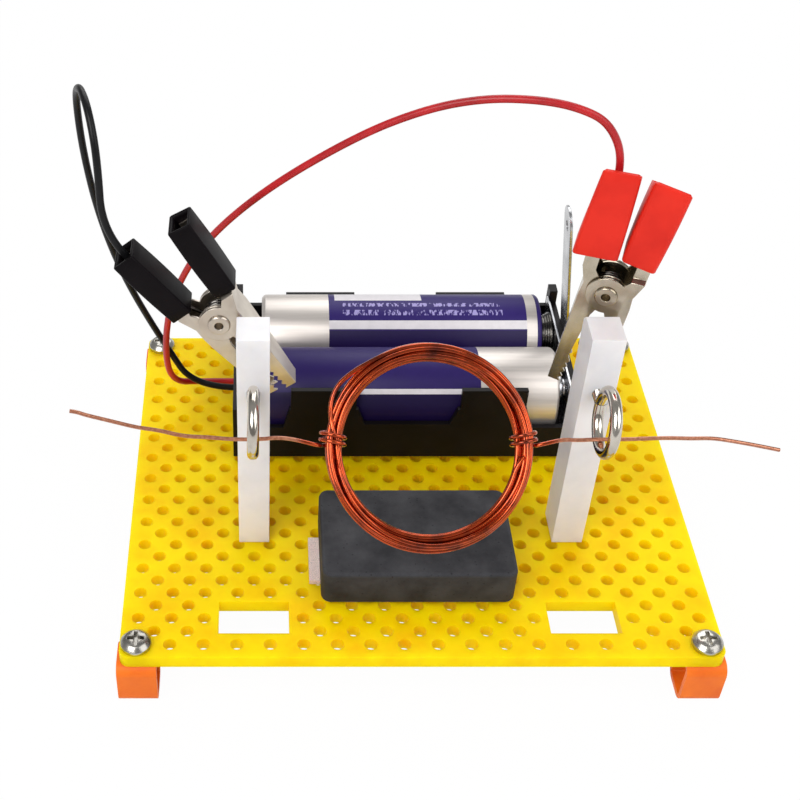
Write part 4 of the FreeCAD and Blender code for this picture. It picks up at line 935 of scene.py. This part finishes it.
# ---------------------------------------------------------------------- armature
@dataclass
class Armature:
    """The wound coil, its bindings and the two wire ends that are its axle.

    Attributes:
        wire: Diameter of the enamelled wire.
        bare_wire: Diameter of its two scraped ends.
        bundle: Diameter of the bundle of turns.
        lean: The coil's normal from upright.
        turns: Turns of wire in the coil.
        swings: Least and most that a turn rolls round the bundle, in radians.
        wander: How far a turn strays from its place in the bundle.
        points_round: Control points of one turn of the coil.
        bow: How far the one loose turn bows out of the bundle.
        bow_at: Where it does so, from the right and by the top, in radians.
        seed: Seed of the strays.
        binding_turns: Turns of each end round the bundle.
        binding_pitch: Distance between two of them, in diameters of the wire.
        left_end: Control points of the left end in millimetres, from the axle's pivot.
        right_end: Those of the right end.
    """

    wire: float = 0.68 * MM
    bare_wire: float = 0.58 * MM
    bundle: float = 2.8 * MM
    lean: float = math.radians(46)
    turns: int = 15
    swings: Pair = (0.25, 0.7)
    wander: float = 0.1 * MM
    points_round: int = 32
    bow: float = 1.1 * MM
    bow_at: float = math.radians(146)
    seed: int = 11
    binding_turns: float = 2.25
    binding_pitch: float = 1.4
    left_end: tuple[Point, ...] = (
        (-19.2, 0.0, 0.05), (-21.6, 0.1, 0.28), (-24.0, 0.0, 0.0), (-28.2, 0.0, 0.0),
        (-31.5, 0.1, 0.35), (-35.0, -0.1, 0.7), (-38.6, 0.1, 1.75), (-41.5, 0.0, 2.3),
        (-45.2, 0.1, 3.5), (-48.6, 0.0, 4.7), (-49.8, 0.0, 5.3), (-50.75, 0.0, 5.45),
    )
    right_end: tuple[Point, ...] = (
        (19.2, 0.0, 0.0), (21.4, 0.0, -0.2), (24.0, 0.0, 0.0), (28.2, 0.0, 0.0),
        (31.0, 0.1, 0.05), (34.5, 0.0, 0.3), (37.6, 0.0, 0.15), (40.6, -0.1, 0.35),
        (43.6, 0.0, -0.35), (47.0, 0.1, -1.2), (50.75, 0.0, -2.1),
    )

    def __post_init__(self) -> None:
        """Work out the coil's own frame from its node."""
        low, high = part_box("coil_winding")
        self.pivot = Vector(joint_named("armature_spin")["pos_m"])
        self.centre = (low + high) / 2
        self.circle = (high.x - low.x - self.bundle) / 2
        self.rise = Vector((0, math.cos(self.lean), math.sin(self.lean)))
        self.normal = Vector((0, -math.sin(self.lean), math.cos(self.lean)))
        self.seat = math.sqrt(self.circle**2 - (self.centre - self.pivot).length ** 2)

    def build(self) -> None:
        """Wind the coil, bind it and lead its two ends out."""
        winding = wire_curve("coil_turns", self.strands(), self.wire, closed=True, between=4)
        add_piece("coil_turns", winding, "armature", Finishes.WIRE.value, "coil_winding")
        for side, name, route in ((-1, "left", self.left_end), (1, "right", self.right_end)):
            line = self.binding(side) + [self.pivot + mm(*point) for point in route]
            end = wire_curve("coil_end_" + name, [line], self.bare_wire)
            add_piece(end.name, end, "armature", Finishes.WIRE.value, "coil_lead_" + name)

    def section_places(self) -> list[Pair]:
        """Where each turn lies in the bundle's section: one in the middle and two rings.

        Returns:
            Pairs of a distance from the bundle's middle and an angle.
        """
        around, slack, stagger = 6, 1.02, 0.3
        inner = [(self.wire * slack, math.tau * step / around) for step in range(around)]
        rim, rest = (self.bundle - self.wire) / 2, self.turns - 1 - around
        outer = [(rim, math.tau * (step + stagger) / rest) for step in range(rest)]
        return [(0.0, 0.0)] + inner + outer

    def strands(self) -> list[list[Vector]]:
        """The closed lines of the turns, which stray and cross a little as hand-wound ones do.

        Returns:
            Control points of each turn, the loose one last.
        """
        chance = random.Random(self.seed)
        lines = []
        for number, (radius, angle) in enumerate(self.section_places(), 1):
            swing, phase = chance.uniform(*self.swings), chance.uniform(0, math.tau)
            waves = [(chance.choice((1, 2, 3)), chance.uniform(0, math.tau)) for _ in range(2)]
            line = []
            for step in range(self.points_round):
                turn = math.tau * step / self.points_round
                stray = sum(math.sin(count * turn + shift) for count, shift in waves)
                off = radius + stray * self.wander / 2
                section = angle + swing * math.sin(turn + phase)
                out, along = off * math.cos(section), off * math.sin(section)
                if number == self.turns:
                    out, along = self.loose(turn)
                outside = control_radius(self.circle + out, self.points_round)
                line.append(self.centre + spoke(RIGHT, self.rise, turn) * outside
                            + self.normal * along)
            lines.append(line)
        return lines

    def loose(self, turn: float) -> Pair:
        """Where the loose turn lies: it bows out of the bundle and crosses it to its inside.

        Args:
            turn: How far round the coil, in radians.

        Returns:
            How far out of the bundle's middle, and how far along the coil's normal.
        """
        bow_width, cross_after, cross_width = 0.24, 0.42, 0.05  # radians along the coil
        rim, side = 0.36 * self.bundle, 0.25 * self.bundle
        past = turn - self.bow_at
        crossed = 1 / (1 + math.exp((cross_after - past) / cross_width))
        out = rim * (1 - 2 * crossed) + self.bow * math.exp(-((past / bow_width) ** 2))
        return out, side + rim * math.sin(math.pi * crossed)

    def binding(self, side: int) -> list[Vector]:
        """The turns of a wire end round the bundle, which finish on the outside of the coil.

        Args:
            side: -1 for the left end and 1 for the right one.

        Returns:
            Control points of the turns.
        """
        seat = self.pivot + RIGHT * (side * self.seat)
        outward = (seat - self.centre).normalized()
        tangent = outward.cross(self.normal).normalized() * side
        per_turn, off = 10, 0.55 * self.wire
        radius = control_radius(self.bundle / 2 + off, per_turn)
        count = round(self.binding_turns * per_turn)
        points = []
        for step in range(count + 1):
            left = (count - step) / per_turn
            along = (self.binding_turns / 2 - left) * self.wire * self.binding_pitch
            points.append(seat + spoke(outward, self.normal, -math.tau * left) * radius
                          + tangent * along)
        return points


# ----------------------------------------------------------------------- battery
@dataclass
class Cell:
    """One cell: a printed jacket with rolled ends, a steel base and a button.

    Attributes:
        name: ``front_cell`` or ``rear_cell``.
        jacket: The jacket's finish.
        rim: How far in from its side the jacket is rolled over, in millimetres.
        roll: Height of the rolled edge at each end, in millimetres.
        button_rounding: Soft edge of the button.
        sides: Facets round the cell.
    """

    name: str
    jacket: Finish
    rim: float = 0.75
    roll: float = 0.7
    button_rounding: float = 0.3 * MM
    sides: int = 64

    def build(self) -> None:
        """Turn the jacket and the two steel ends, and dress the button."""
        low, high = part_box(self.name)
        start, button = middle(self.name), self.name + "_button"
        facing = 1 if middle(button).x > start.x else -1
        start.x = low.x if facing > 0 else high.x
        place = frame_along(RIGHT * facing, start) @ Matrix.Scale(MM, 4)
        body, base, crown = self.profiles((high.z - low.z) / 2 / MM, (high.x - low.x) / MM)
        for suffix, finish, profiles in (("_jacket", self.jacket, [body]),
                                         ("_ends", Finishes.CELL_END.value, [base, crown])):
            mesh = mesh_from(self.name + suffix, lambda work: [
                turned(work, profile, place, self.sides) for profile in profiles])
            add_piece(self.name + suffix, mesh, "base", finish, self.name)
        dress_nodes([button], Finishes.CELL_END.value, self.button_rounding)

    def profiles(self, radius: float, length: float) -> tuple[Sequence[Pair], ...]:
        """The outlines that are turned, from the base to the crown.

        Args:
            radius: The cell's radius, in millimetres.
            length: Its length without the button, likewise.

        Returns:
            Radius and height of each point of the jacket, the base and the crown.
        """
        edge = radius - self.rim
        body = ((edge, 0.12), (edge + 0.15, 0.0), (radius - 0.25, 0.08),
                (radius, self.roll * 0.6), (radius, length - self.roll),
                (radius - 0.12, length - self.roll * 0.55), (radius - 0.45, length - 0.1),
                (edge, length), (edge - 0.12, length - 0.25))
        base = ((0.0, 0.02), (edge - 0.9, 0.02), (edge - 0.6, 0.22), (edge - 0.1, 0.22),
                (edge, 0.14))
        crown = ((edge - 0.12, length - 0.28), (edge - 0.6, length - 0.55),
                 (edge * 0.55, length - 0.5), (edge * 0.5, length - 0.25), (0.0, length - 0.22))
        return body, base, crown


@dataclass
class ContactSpring:
    """A coiled contact spring between a contact plate and a cell's base.

    Attributes:
        node: The node that it stands for.
        plate_side: 1 where its plate, and so its wide end, is on the right, and -1 on the left.
        turns: Its turns.
        wire: Its wire.
        taper: How much smaller its narrow end's radius is.
    """

    node: str
    plate_side: int
    turns: float = 4.5
    wire: float = 0.78 * MM
    taper: float = 1.0 * MM

    def build(self) -> None:
        """Wind the spring from its wide end to its narrow one, with half a flat turn at each."""
        low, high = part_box(self.node)
        wide, length = (high.z - low.z - self.wire) / 2, high.x - low.x - self.wire
        per_turn = 10
        points, count = [], round((self.turns + 1) * per_turn)
        for step in range(count + 1):
            share = min(1.0, max(0.0, (step - per_turn / 2) / (count - per_turn)))
            outside = control_radius(wide - self.taper * share, per_turn)
            points.append(middle(self.node) + RIGHT * (self.plate_side * length * (0.5 - share))
                          + spoke(BACK, UP, math.tau * step / per_turn) * outside)
        curve = wire_curve(self.node + "_wire", [points], self.wire)
        # The spring's darkened steel is painted shade.
        add_piece(curve.name, curve, "base", Finishes.SPRING.value, self.node)


@dataclass
class BatteryBox:
    """The open two-cell holder with its contacts, and the two cells in it.

    Attributes:
        wall_rounding: Soft edges of the moulded walls.
        contact_rounding: Broken edges of the punched contacts.
        silver: Colours of the jackets' bare steel and of its streaks.
        front_marks: Print of the front cell, navy with a pale line; its darker navy away from its
            top is painted shade.
        rear_marks: Print of the rear cell, navy past its bare left end with pale fields; its
            darker navy to the front is painted shade.
        rear_print: Turns between which the rear cell's tiny rows lie.
    """

    wall_rounding: float = 0.22 * MM
    contact_rounding: float = 0.08 * MM
    silver: tuple[str, str] = ("d6cfc9", "c3bdb8")
    front_marks: tuple[Mark, ...] = (
        # The 1d1140 fields on the front, the underside and the back are painted shade; the others
        # are print.
        Mark((-0.1, 0.73), tone="2b1c60"), Mark((-0.1, 0.73), (0.8, 1.1), "1d1140"),
        Mark((-0.1, 0.73), (-1.1, 0.2), "1d1140"), Mark((0.3, 0.73), (0.775, 0.815)),
        Mark((-0.1, 0.012), tone="8d8c90"),
    )
    rear_marks: tuple[Mark, ...] = (
        # The 201248 field on the front is painted shade; the others are print.
        Mark((0.24, 0.945), tone="2f2068"), Mark((0.24, 0.945), (0.755, 1.1), "201248"),
        Mark((0.982, 1.1), tone="2b1d60"), Mark((0.24, 0.945), (0.675, 0.745)),
        Mark((0.262, 0.575), (0.3, 0.47)),
    )
    rear_print: tuple[Pair, ...] = ((0.505, 0.545), (0.58, 0.63))

    def build(self) -> None:
        """Dress the holder and its contacts, and put the springs and cells in."""
        dress_nodes(["battery_holder"], Finishes.HOLDER.value, self.wall_rounding)
        dress_nodes(["negative_plate", "positive_plate", "link_plate", "contact_strip"],
                    Finishes.CONTACT.value, self.contact_rounding)
        ContactSpring("negative_spring", -1).build()
        ContactSpring("link_spring", 1).build()
        for name, marks, rows in (("front_cell", self.front_marks, ()),
                                  ("rear_cell", self.rear_marks, self.rear_print)):
            Cell(name, Jacket("cell_jacket", *self.silver, name, marks, rows)).build()


# ------------------------------------------------------------------------- clips
@dataclass
class Sleeve:
    """A soft insulating sleeve, open at both ends, over a handle of a clip.

    Attributes:
        node: The node that it stands for.
        body: The body that it rides on.
        finish: Its finish.
        hinge: The clip's joint, which tells the pivot and the rivet's direction.
        rounding: Soft outer edges along it.
        slant: How much further its front face reaches than its back one.
        spread: Where its two sides lie across its handle, at its near end and at its far one,
            if not as in its node.
        keep: Share of its thickness that it keeps when the other sleeve presses on it; below 1,
            the sleeve only gets a mesh of its own, and is not pressed here.
        wall: Thickness of its wall.
        inner_rounding: Least rounding inside.
        lip: Rounding of its cut ends.
        flare: How far each mouth opens inside.
        swell: How far its long faces stand out in the middle.
        ridge: How far the rib inside its far mouth stands in.
        ridge_at: Where the rib is, as a share of the length.
    """

    node: str
    body: str
    finish: Finish
    hinge: dict
    rounding: float
    slant: float = 0.0
    spread: Spread | None = None
    keep: float = 1.0
    wall: float = 0.5 * MM
    inner_rounding: float = 0.2 * MM
    lip: float = 0.12 * MM
    flare: float = 0.1 * MM
    swell: float = 0.1 * MM
    ridge: float = 0.12 * MM
    ridge_at: float = 0.96

    def __post_init__(self) -> None:
        """Find where the node's two ends lie, how large they are and which way they face."""
        pivot, rivet = Vector(self.hinge["pos_m"]), Vector(self.hinge["axis"])
        node = FRAME["nodes"][self.node]
        spots = {tuple(round(c, 7) for c in node.matrix_world @ v.co) for v in node.data.vertices}
        corners = [Vector(spot) for spot in spots]
        outward = (middle(self.node) - pivot).normalized()
        places = [(corner - pivot).dot(outward) for corner in corners]
        end_share = 0.3
        margin = (max(places) - min(places)) * end_share
        near = [c for c, place in zip(corners, places) if place < min(places) + margin]
        far = [c for c, place in zip(corners, places) if place > max(places) - margin]
        self.base, top = (sum(group, Vector()) / len(group) for group in (near, far))
        self.length = (top - self.base).length
        self.along = (top - self.base).normalized()
        self.wide = (rivet - self.along * rivet.dot(self.along)).normalized()
        self.deep = self.along.cross(self.wide)
        self.sizes = [[max(abs((c - centre).dot(axis)) for c in group)
                       for axis in (self.deep, self.wide)]
                      for group, centre in ((near, self.base), (far, top))]
        self.shifts = [0.0, 0.0]
        for end, (first, last) in enumerate(self.spread or ()):
            self.sizes[end][0], self.shifts[end] = (last - first) / 2, (first + last) / 2

    def build(self) -> None:
        """Loft the sleeve round the place that its node takes."""
        mesh = mesh_from(self.node + "_soft", self.loft)
        piece = add_piece(self.node + "_soft", mesh, self.body, self.finish, self.node)
        if self.keep < 1.0:
            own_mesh(piece)

    def ring(self, work: bmesh.types.BMesh, share: float, grow: float, inner: bool) -> list:
        """One ring of the loft.

        Args:
            work: Where its vertices go.
            share: Where it lies, as a share of the length.
            grow: How much larger it is than the sleeve there.
            inner: Whether it lies inside.

        Returns:
            Its vertices, once round.
        """
        size = [near + (far - near) * share for near, far in zip(*self.sizes)]
        radius = self.rounding
        if inner:
            size = [half - self.wall for half in size]
            radius = max(self.inner_rounding, self.rounding - self.wall)
        shift = self.shifts[0] + (self.shifts[1] - self.shifts[0]) * share
        centre = self.base + self.along * (self.length * share) + self.deep * shift
        slant = self.slant * share
        return [work.verts.new(centre + self.deep * x + self.wide * y
                               + self.along * (slant * (0.5 + 0.5 * y / size[1])))
                for x, y in rounded(size[0] + grow, size[1] + grow, radius)]

    def loft(self, work: bmesh.types.BMesh) -> None:
        """All rings, outside from near to far and inside back again.

        Args:
            work: Where the faces go.
        """
        lip, halfway, steps = self.lip / self.length, 0.3, 8
        cut = [(0.0, -self.lip), (lip * halfway, -self.lip * halfway), (lip, 0.0)]
        swelling = [(step / steps, self.swell * math.sin(math.pi * step / steps))
                    for step in range(1, steps)]
        outside = cut + swelling + [(1 - share, grow) for share, grow in reversed(cut)]
        beyond = 2 * self.ridge_at - 1
        inside = [(1.0, self.flare), (1 - lip, 0.0), (self.ridge_at, -self.ridge),
                  (beyond, 0.0), (1 - beyond, 0.0), (0.0, self.flare)]
        rings = [self.ring(work, share, grow, False) for share, grow in outside]
        rings += [self.ring(work, share, grow, True) for share, grow in inside]
        for lower, upper in zip(rings, rings[1:] + rings[:1]):
            for step, corner in enumerate(lower):
                ahead = (step + 1) % len(lower)
                work.faces.new((corner, lower[ahead], upper[ahead], upper[step]))


@dataclass
class Clip:
    """A spring clip with two insulated handles, which grips the stem of an eye.

    Attributes:
        side: ``left`` or ``right``.
        metal: Finish of its levers and rivet.
        sleeve: Finish of its two sleeves.
        rounding: Soft edges of the sleeves.
        slant: How much further the sleeves' front faces reach.
        fixed_spread: Sides of the fixed handle's sleeve, if not as in its node.
        moving_spread: Sides of the moving handle's sleeve, likewise.
        keep: Share of its thickness that the fixed sleeve keeps at the full squeeze; the sleeve is
            not squeezed here.
        edge: Broken edges of the folded sheet.
        coil: Radius of the spring's coil, to the middle of its wire.
        wire: Wire of the spring.
        turns: Turns of the spring, from leg to leg.
        pitch: Distance between two of them, in diameters of the wire.
        leg: Where a leg ends on its handle, across and along the clip from the pivot.
    """

    side: str
    metal: Finish
    sleeve: Finish
    rounding: float
    slant: float = 0.0
    fixed_spread: Spread | None = None
    moving_spread: Spread | None = None
    keep: float = 1.0
    edge: float = 0.09 * MM
    coil: float = 1.8 * MM
    wire: float = 0.6 * MM
    turns: float = 3.5
    pitch: float = 1.02
    leg: Pair = (3.7 * MM, 3.3 * MM)

    def build(self) -> None:
        """Dress the levers and rivet, loft the sleeves and wind the spring."""
        name = self.side + "_clip_"
        hinge = joint_named(name + "squeeze")
        dress_nodes([name + "fixed_lever", name + "moving_lever", name + "rivet"], self.metal,
                    self.edge)
        for role, body, spread, keep in (
                ("fixed", "base", self.fixed_spread, self.keep),
                ("moving", name + "jaw", self.moving_spread, 1.0)):
            Sleeve(name + role + "_sleeve", body, self.sleeve, hinge, self.rounding,
                   self.slant, spread, keep).build()
        points = self.spring(name, hinge)
        for part, body, run, node in (
                ("spring_coil", "base", points[:-1], name + "spring"),
                ("spring_leg", name + "jaw", points[-3:], None)):
            wire = wire_curve(name + part, [run], self.wire)
            add_piece(wire.name, wire, body, Finishes.CLIP_SPRING.value, node)

    def spring(self, name: str, hinge: dict) -> list[Vector]:
        """Control points of the spring: down one leg, round the rivet, up the other.

        Args:
            name: Start of the clip's node names.
            hinge: The clip's joint.

        Returns:
            The points.
        """
        pivot, rivet = Vector(hinge["pos_m"]), Vector(hinge["axis"]).normalized()
        fixed, moving = middle(name + "fixed_sleeve"), middle(name + "moving_sleeve")
        handles = (fixed + moving) / 2 - pivot
        up = (handles - rivet * handles.dot(rivet)).normalized()
        across = up.cross(rivet)
        if across.dot(moving - fixed) < 0:
            across = -across
        per_turn = 12
        count = round(self.turns * per_turn)
        shift = rivet * (self.turns * self.wire * self.pitch)
        outside = control_radius(self.coil, per_turn)
        points = [pivot - across * self.leg[0] + up * self.leg[1] - shift / 2]
        for step in range(count + 1):
            turn = math.pi + math.tau * step / per_turn
            points.append(pivot + spoke(across, up, turn) * outside
                          + shift * (step / count - 0.5))
        points.append(pivot + across * self.leg[0] + up * self.leg[1] + shift / 2)
        return points


# ------------------------------------------------------------------------- leads
@dataclass
class Lead:
    """A thin insulated lead from the holder to a clip.

    Attributes:
        name: ``red_lead`` or ``black_lead``.
        finish: Finish of its insulation.
        length: Real length from the contact plate to the clip's handle; not used.
        route: Its control points in millimetres, from the contact plate on.
        diameter: Outside diameter.
    """

    name: str
    finish: Finish
    length: float
    route: tuple[Point, ...]
    diameter: float = 1.1 * MM

    def build(self) -> None:
        """Lay the lead along its route, as one smooth curve."""
        points = [mm(*point) for point in self.route]
        curve = wire_curve(self.name + "_insulation", [points], self.diameter, ring=5, between=16)
        lead = add_piece(curve.name, curve, "base", self.finish, self.name)


RED_ROUTE = (
    (-27.4, 21.8, 13.0), (-34.6, 21.8, 13.0), (-39.6, 17.6, 16.5), (-40.2, 14.8, 26.5),
    (-38.4, 12.8, 38.6), (-33.0, 10.2, 51.0), (-23.5, 6.8, 62.8), (-10.5, 3.3, 73.9),
    (-1.5, 1.0, 79.4), (5.8, -1.0, 82.1), (12.6, -2.8, 82.9), (17.8, -3.8, 82.3),
    (22.2, -4.2, 80.2), (25.147, -3.651, 74.104), (24.697, -3.496, 69.497),
)
BLACK_ROUTE = (
    (-27.4, 18.2, 14.6), (-35.6, 18.2, 14.6), (-40.2, 16.6, 25.6), (-44.4, 14.5, 37.4),
    (-46.9, 12.8, 46.6), (-48.8, 11.0, 57.0), (-49.8, 9.4, 68.2), (-49.9, 8.4, 77.2),
    (-48.8, 4.8, 81.0), (-47.2, -0.2, 81.0), (-46.1, -3.8, 77.2), (-45.9, -4.6, 71.9),
    (-46.0, -4.9, 66.3), (-44.372, -4.9, 61.105), (-42.649, -4.9, 59.001),
)


# ------------------------------------------------------------------------ studio
@dataclass(frozen=True)
class Lamp:
    """A square soft lamp that looks at the object.

    Attributes:
        name: Its name.
        place: Where it stands, in millimetres.
        size: Side of the square.
        power: Its power in watts.
        aim: Where it looks, in millimetres.
    """

    name: str
    place: Point
    size: float
    power: float
    aim: Point = (0, 0, 20)

    def build(self) -> None:
        """Hang the lamp and turn it to the object."""
        data = bpy.data.lights.new(self.name, "AREA")
        data.size = self.size
        data.energy = self.power
        lamp = bpy.data.objects.new(self.name, data)
        lamp.location = mm(*self.place)
        lamp.rotation_euler = (mm(*self.aim) - lamp.location).to_track_quat("-Z", "Y").to_euler()
        bpy.context.scene.collection.objects.link(lamp)


@dataclass
class Studio:
    """A plain white sweep, soft lamps and the camera.

    Attributes:
        eye: Where the camera stands, in millimetres.
        pitch: How far it looks down.
        focal: Focal length in pixels of the image.
        image: Width and height of the image in pixels.
        centre_column: Column of the image that the camera points at.
        clip: Nearest and farthest that it sees.
        lamps: The soft lamps.
        floor_size: Half the side of the floor.
        paper: How much light the floor's paper gives back.
        full_white: How much of it is full white to the camera and to reflections.
        glow: Strength of the world where it lights the object.
    """

    eye: Point = (-23.6, -162.9, 171.9)
    pitch: float = math.radians(41.5)
    focal: float = 1363.0
    image: float = 800.0
    centre_column: float = 263.0
    clip: Pair = (0.01, 20.0)
    lamps: tuple[Lamp, ...] = (
        Lamp("key", (-260, -320, 420), 0.34, 2.3),
        Lamp("fill", (330, -200, 330), 0.4, 1.15),
        Lamp("back", (40, 380, 380), 0.45, 1.4),
    )
    floor_size: float = 6.0
    paper: float = 0.86
    full_white: float = 0.975
    glow: float = 0.3

    def build(self) -> None:
        """Make the camera, the floor, the lamps and the world."""
        self.camera()
        self.floor()
        for lamp in self.lamps:
            lamp.build()
        self.world()
        bpy.context.scene.view_settings.view_transform = "Standard"

    def camera(self) -> None:
        """A plain perspective camera, shifted sideways as the image is framed."""
        data = bpy.data.cameras.new("camera")
        data.lens = self.focal / self.image * data.sensor_width
        data.shift_x = (self.image / 2 - self.centre_column) / self.image
        data.clip_start, data.clip_end = self.clip
        camera = bpy.data.objects.new("camera", data)
        camera.location = mm(*self.eye)
        camera.rotation_euler = (math.pi / 2 - self.pitch, 0, 0)
        bpy.context.scene.collection.objects.link(camera)
        bpy.context.scene.camera = camera

    def floor(self) -> None:
        """A white floor that keeps the object's soft shadow."""
        mesh = mesh_from("floor", lambda work: bmesh.ops.create_grid(
            work, x_segments=1, y_segments=1, size=self.floor_size))
        mesh.materials.append(self.white())
        floor = bpy.data.objects.new("floor", mesh)
        bpy.context.scene.collection.objects.link(floor)

    def white(self) -> bpy.types.Material:
        """White paper, part of which is full white to the camera and to reflections.

        Returns:
            The material.
        """
        board = Board("floor_white")
        rays = board.add("ShaderNodeLightPath").outputs
        mirrored = board.math("MAXIMUM", rays["Is Glossy Ray"], rays["Is Transmission Ray"])
        seen = board.math("MAXIMUM", rays["Is Camera Ray"], mirrored)
        paper = board.feed(board.add("ShaderNodeBsdfDiffuse"), Color=(*[self.paper] * 3, 1))
        light = board.feed(board.add("ShaderNodeEmission"), Color=(1, 1, 1, 1), Strength=1.0)
        blend = board.feed(board.add("ShaderNodeMixShader"), i1=paper.outputs[0],
                           i2=light.outputs[0], i0=board.math("MULTIPLY", seen, self.full_white))
        board.tree.links.new(blend.outputs[0], board.output.inputs["Surface"])
        return board.material

    def world(self) -> None:
        """A pale world that is full white where the camera sees it."""
        world = bpy.data.worlds.new("studio")
        world.use_nodes = True
        tree = world.node_tree
        rays = tree.nodes.new("ShaderNodeLightPath")
        strength = tree.nodes.new("ShaderNodeMapRange")
        strength.inputs["To Min"].default_value = self.glow
        tree.links.new(rays.outputs["Is Camera Ray"], strength.inputs["Value"])
        back = tree.nodes["Background"]
        back.inputs["Color"].default_value = (1, 1, 1, 1)
        tree.links.new(strength.outputs[0], back.inputs["Strength"])
        bpy.context.scene.world = world


def main() -> None:
    """Build every sub-assembly in order."""
    logging.basicConfig(level=logging.INFO, format="%(message)s")
    assemblies = (
        Studio(),
        Lead("red_lead", Finishes.RED_LEAD.value, 0.1303, RED_ROUTE),
        Lead("black_lead", Finishes.BLACK_LEAD.value, 0.107, BLACK_ROUTE),
        Stand(),
        Magnet(),
        Bearings(),
        Armature(),
        BatteryBox(),
        Clip("left", Finishes.LEFT_CLIP.value, Finishes.BLACK_SLEEVE.value, 0.35 * MM),
        Clip("right", Finishes.RIGHT_CLIP.value, Finishes.RED_SLEEVE.value, 0.6 * MM,
             slant=2.8 * MM, fixed_spread=((-3.4 * MM, 3.03 * MM), (-1.4 * MM, 3.8 * MM)),
             moving_spread=((-3.05 * MM, 1.95 * MM), (-4.0 * MM, 1.35 * MM)), keep=0.76),
    )
    for assembly in assemblies:
        assembly.build()
        log.info("%s built", type(assembly).__name__)


if __name__ == "__main__":
    main()
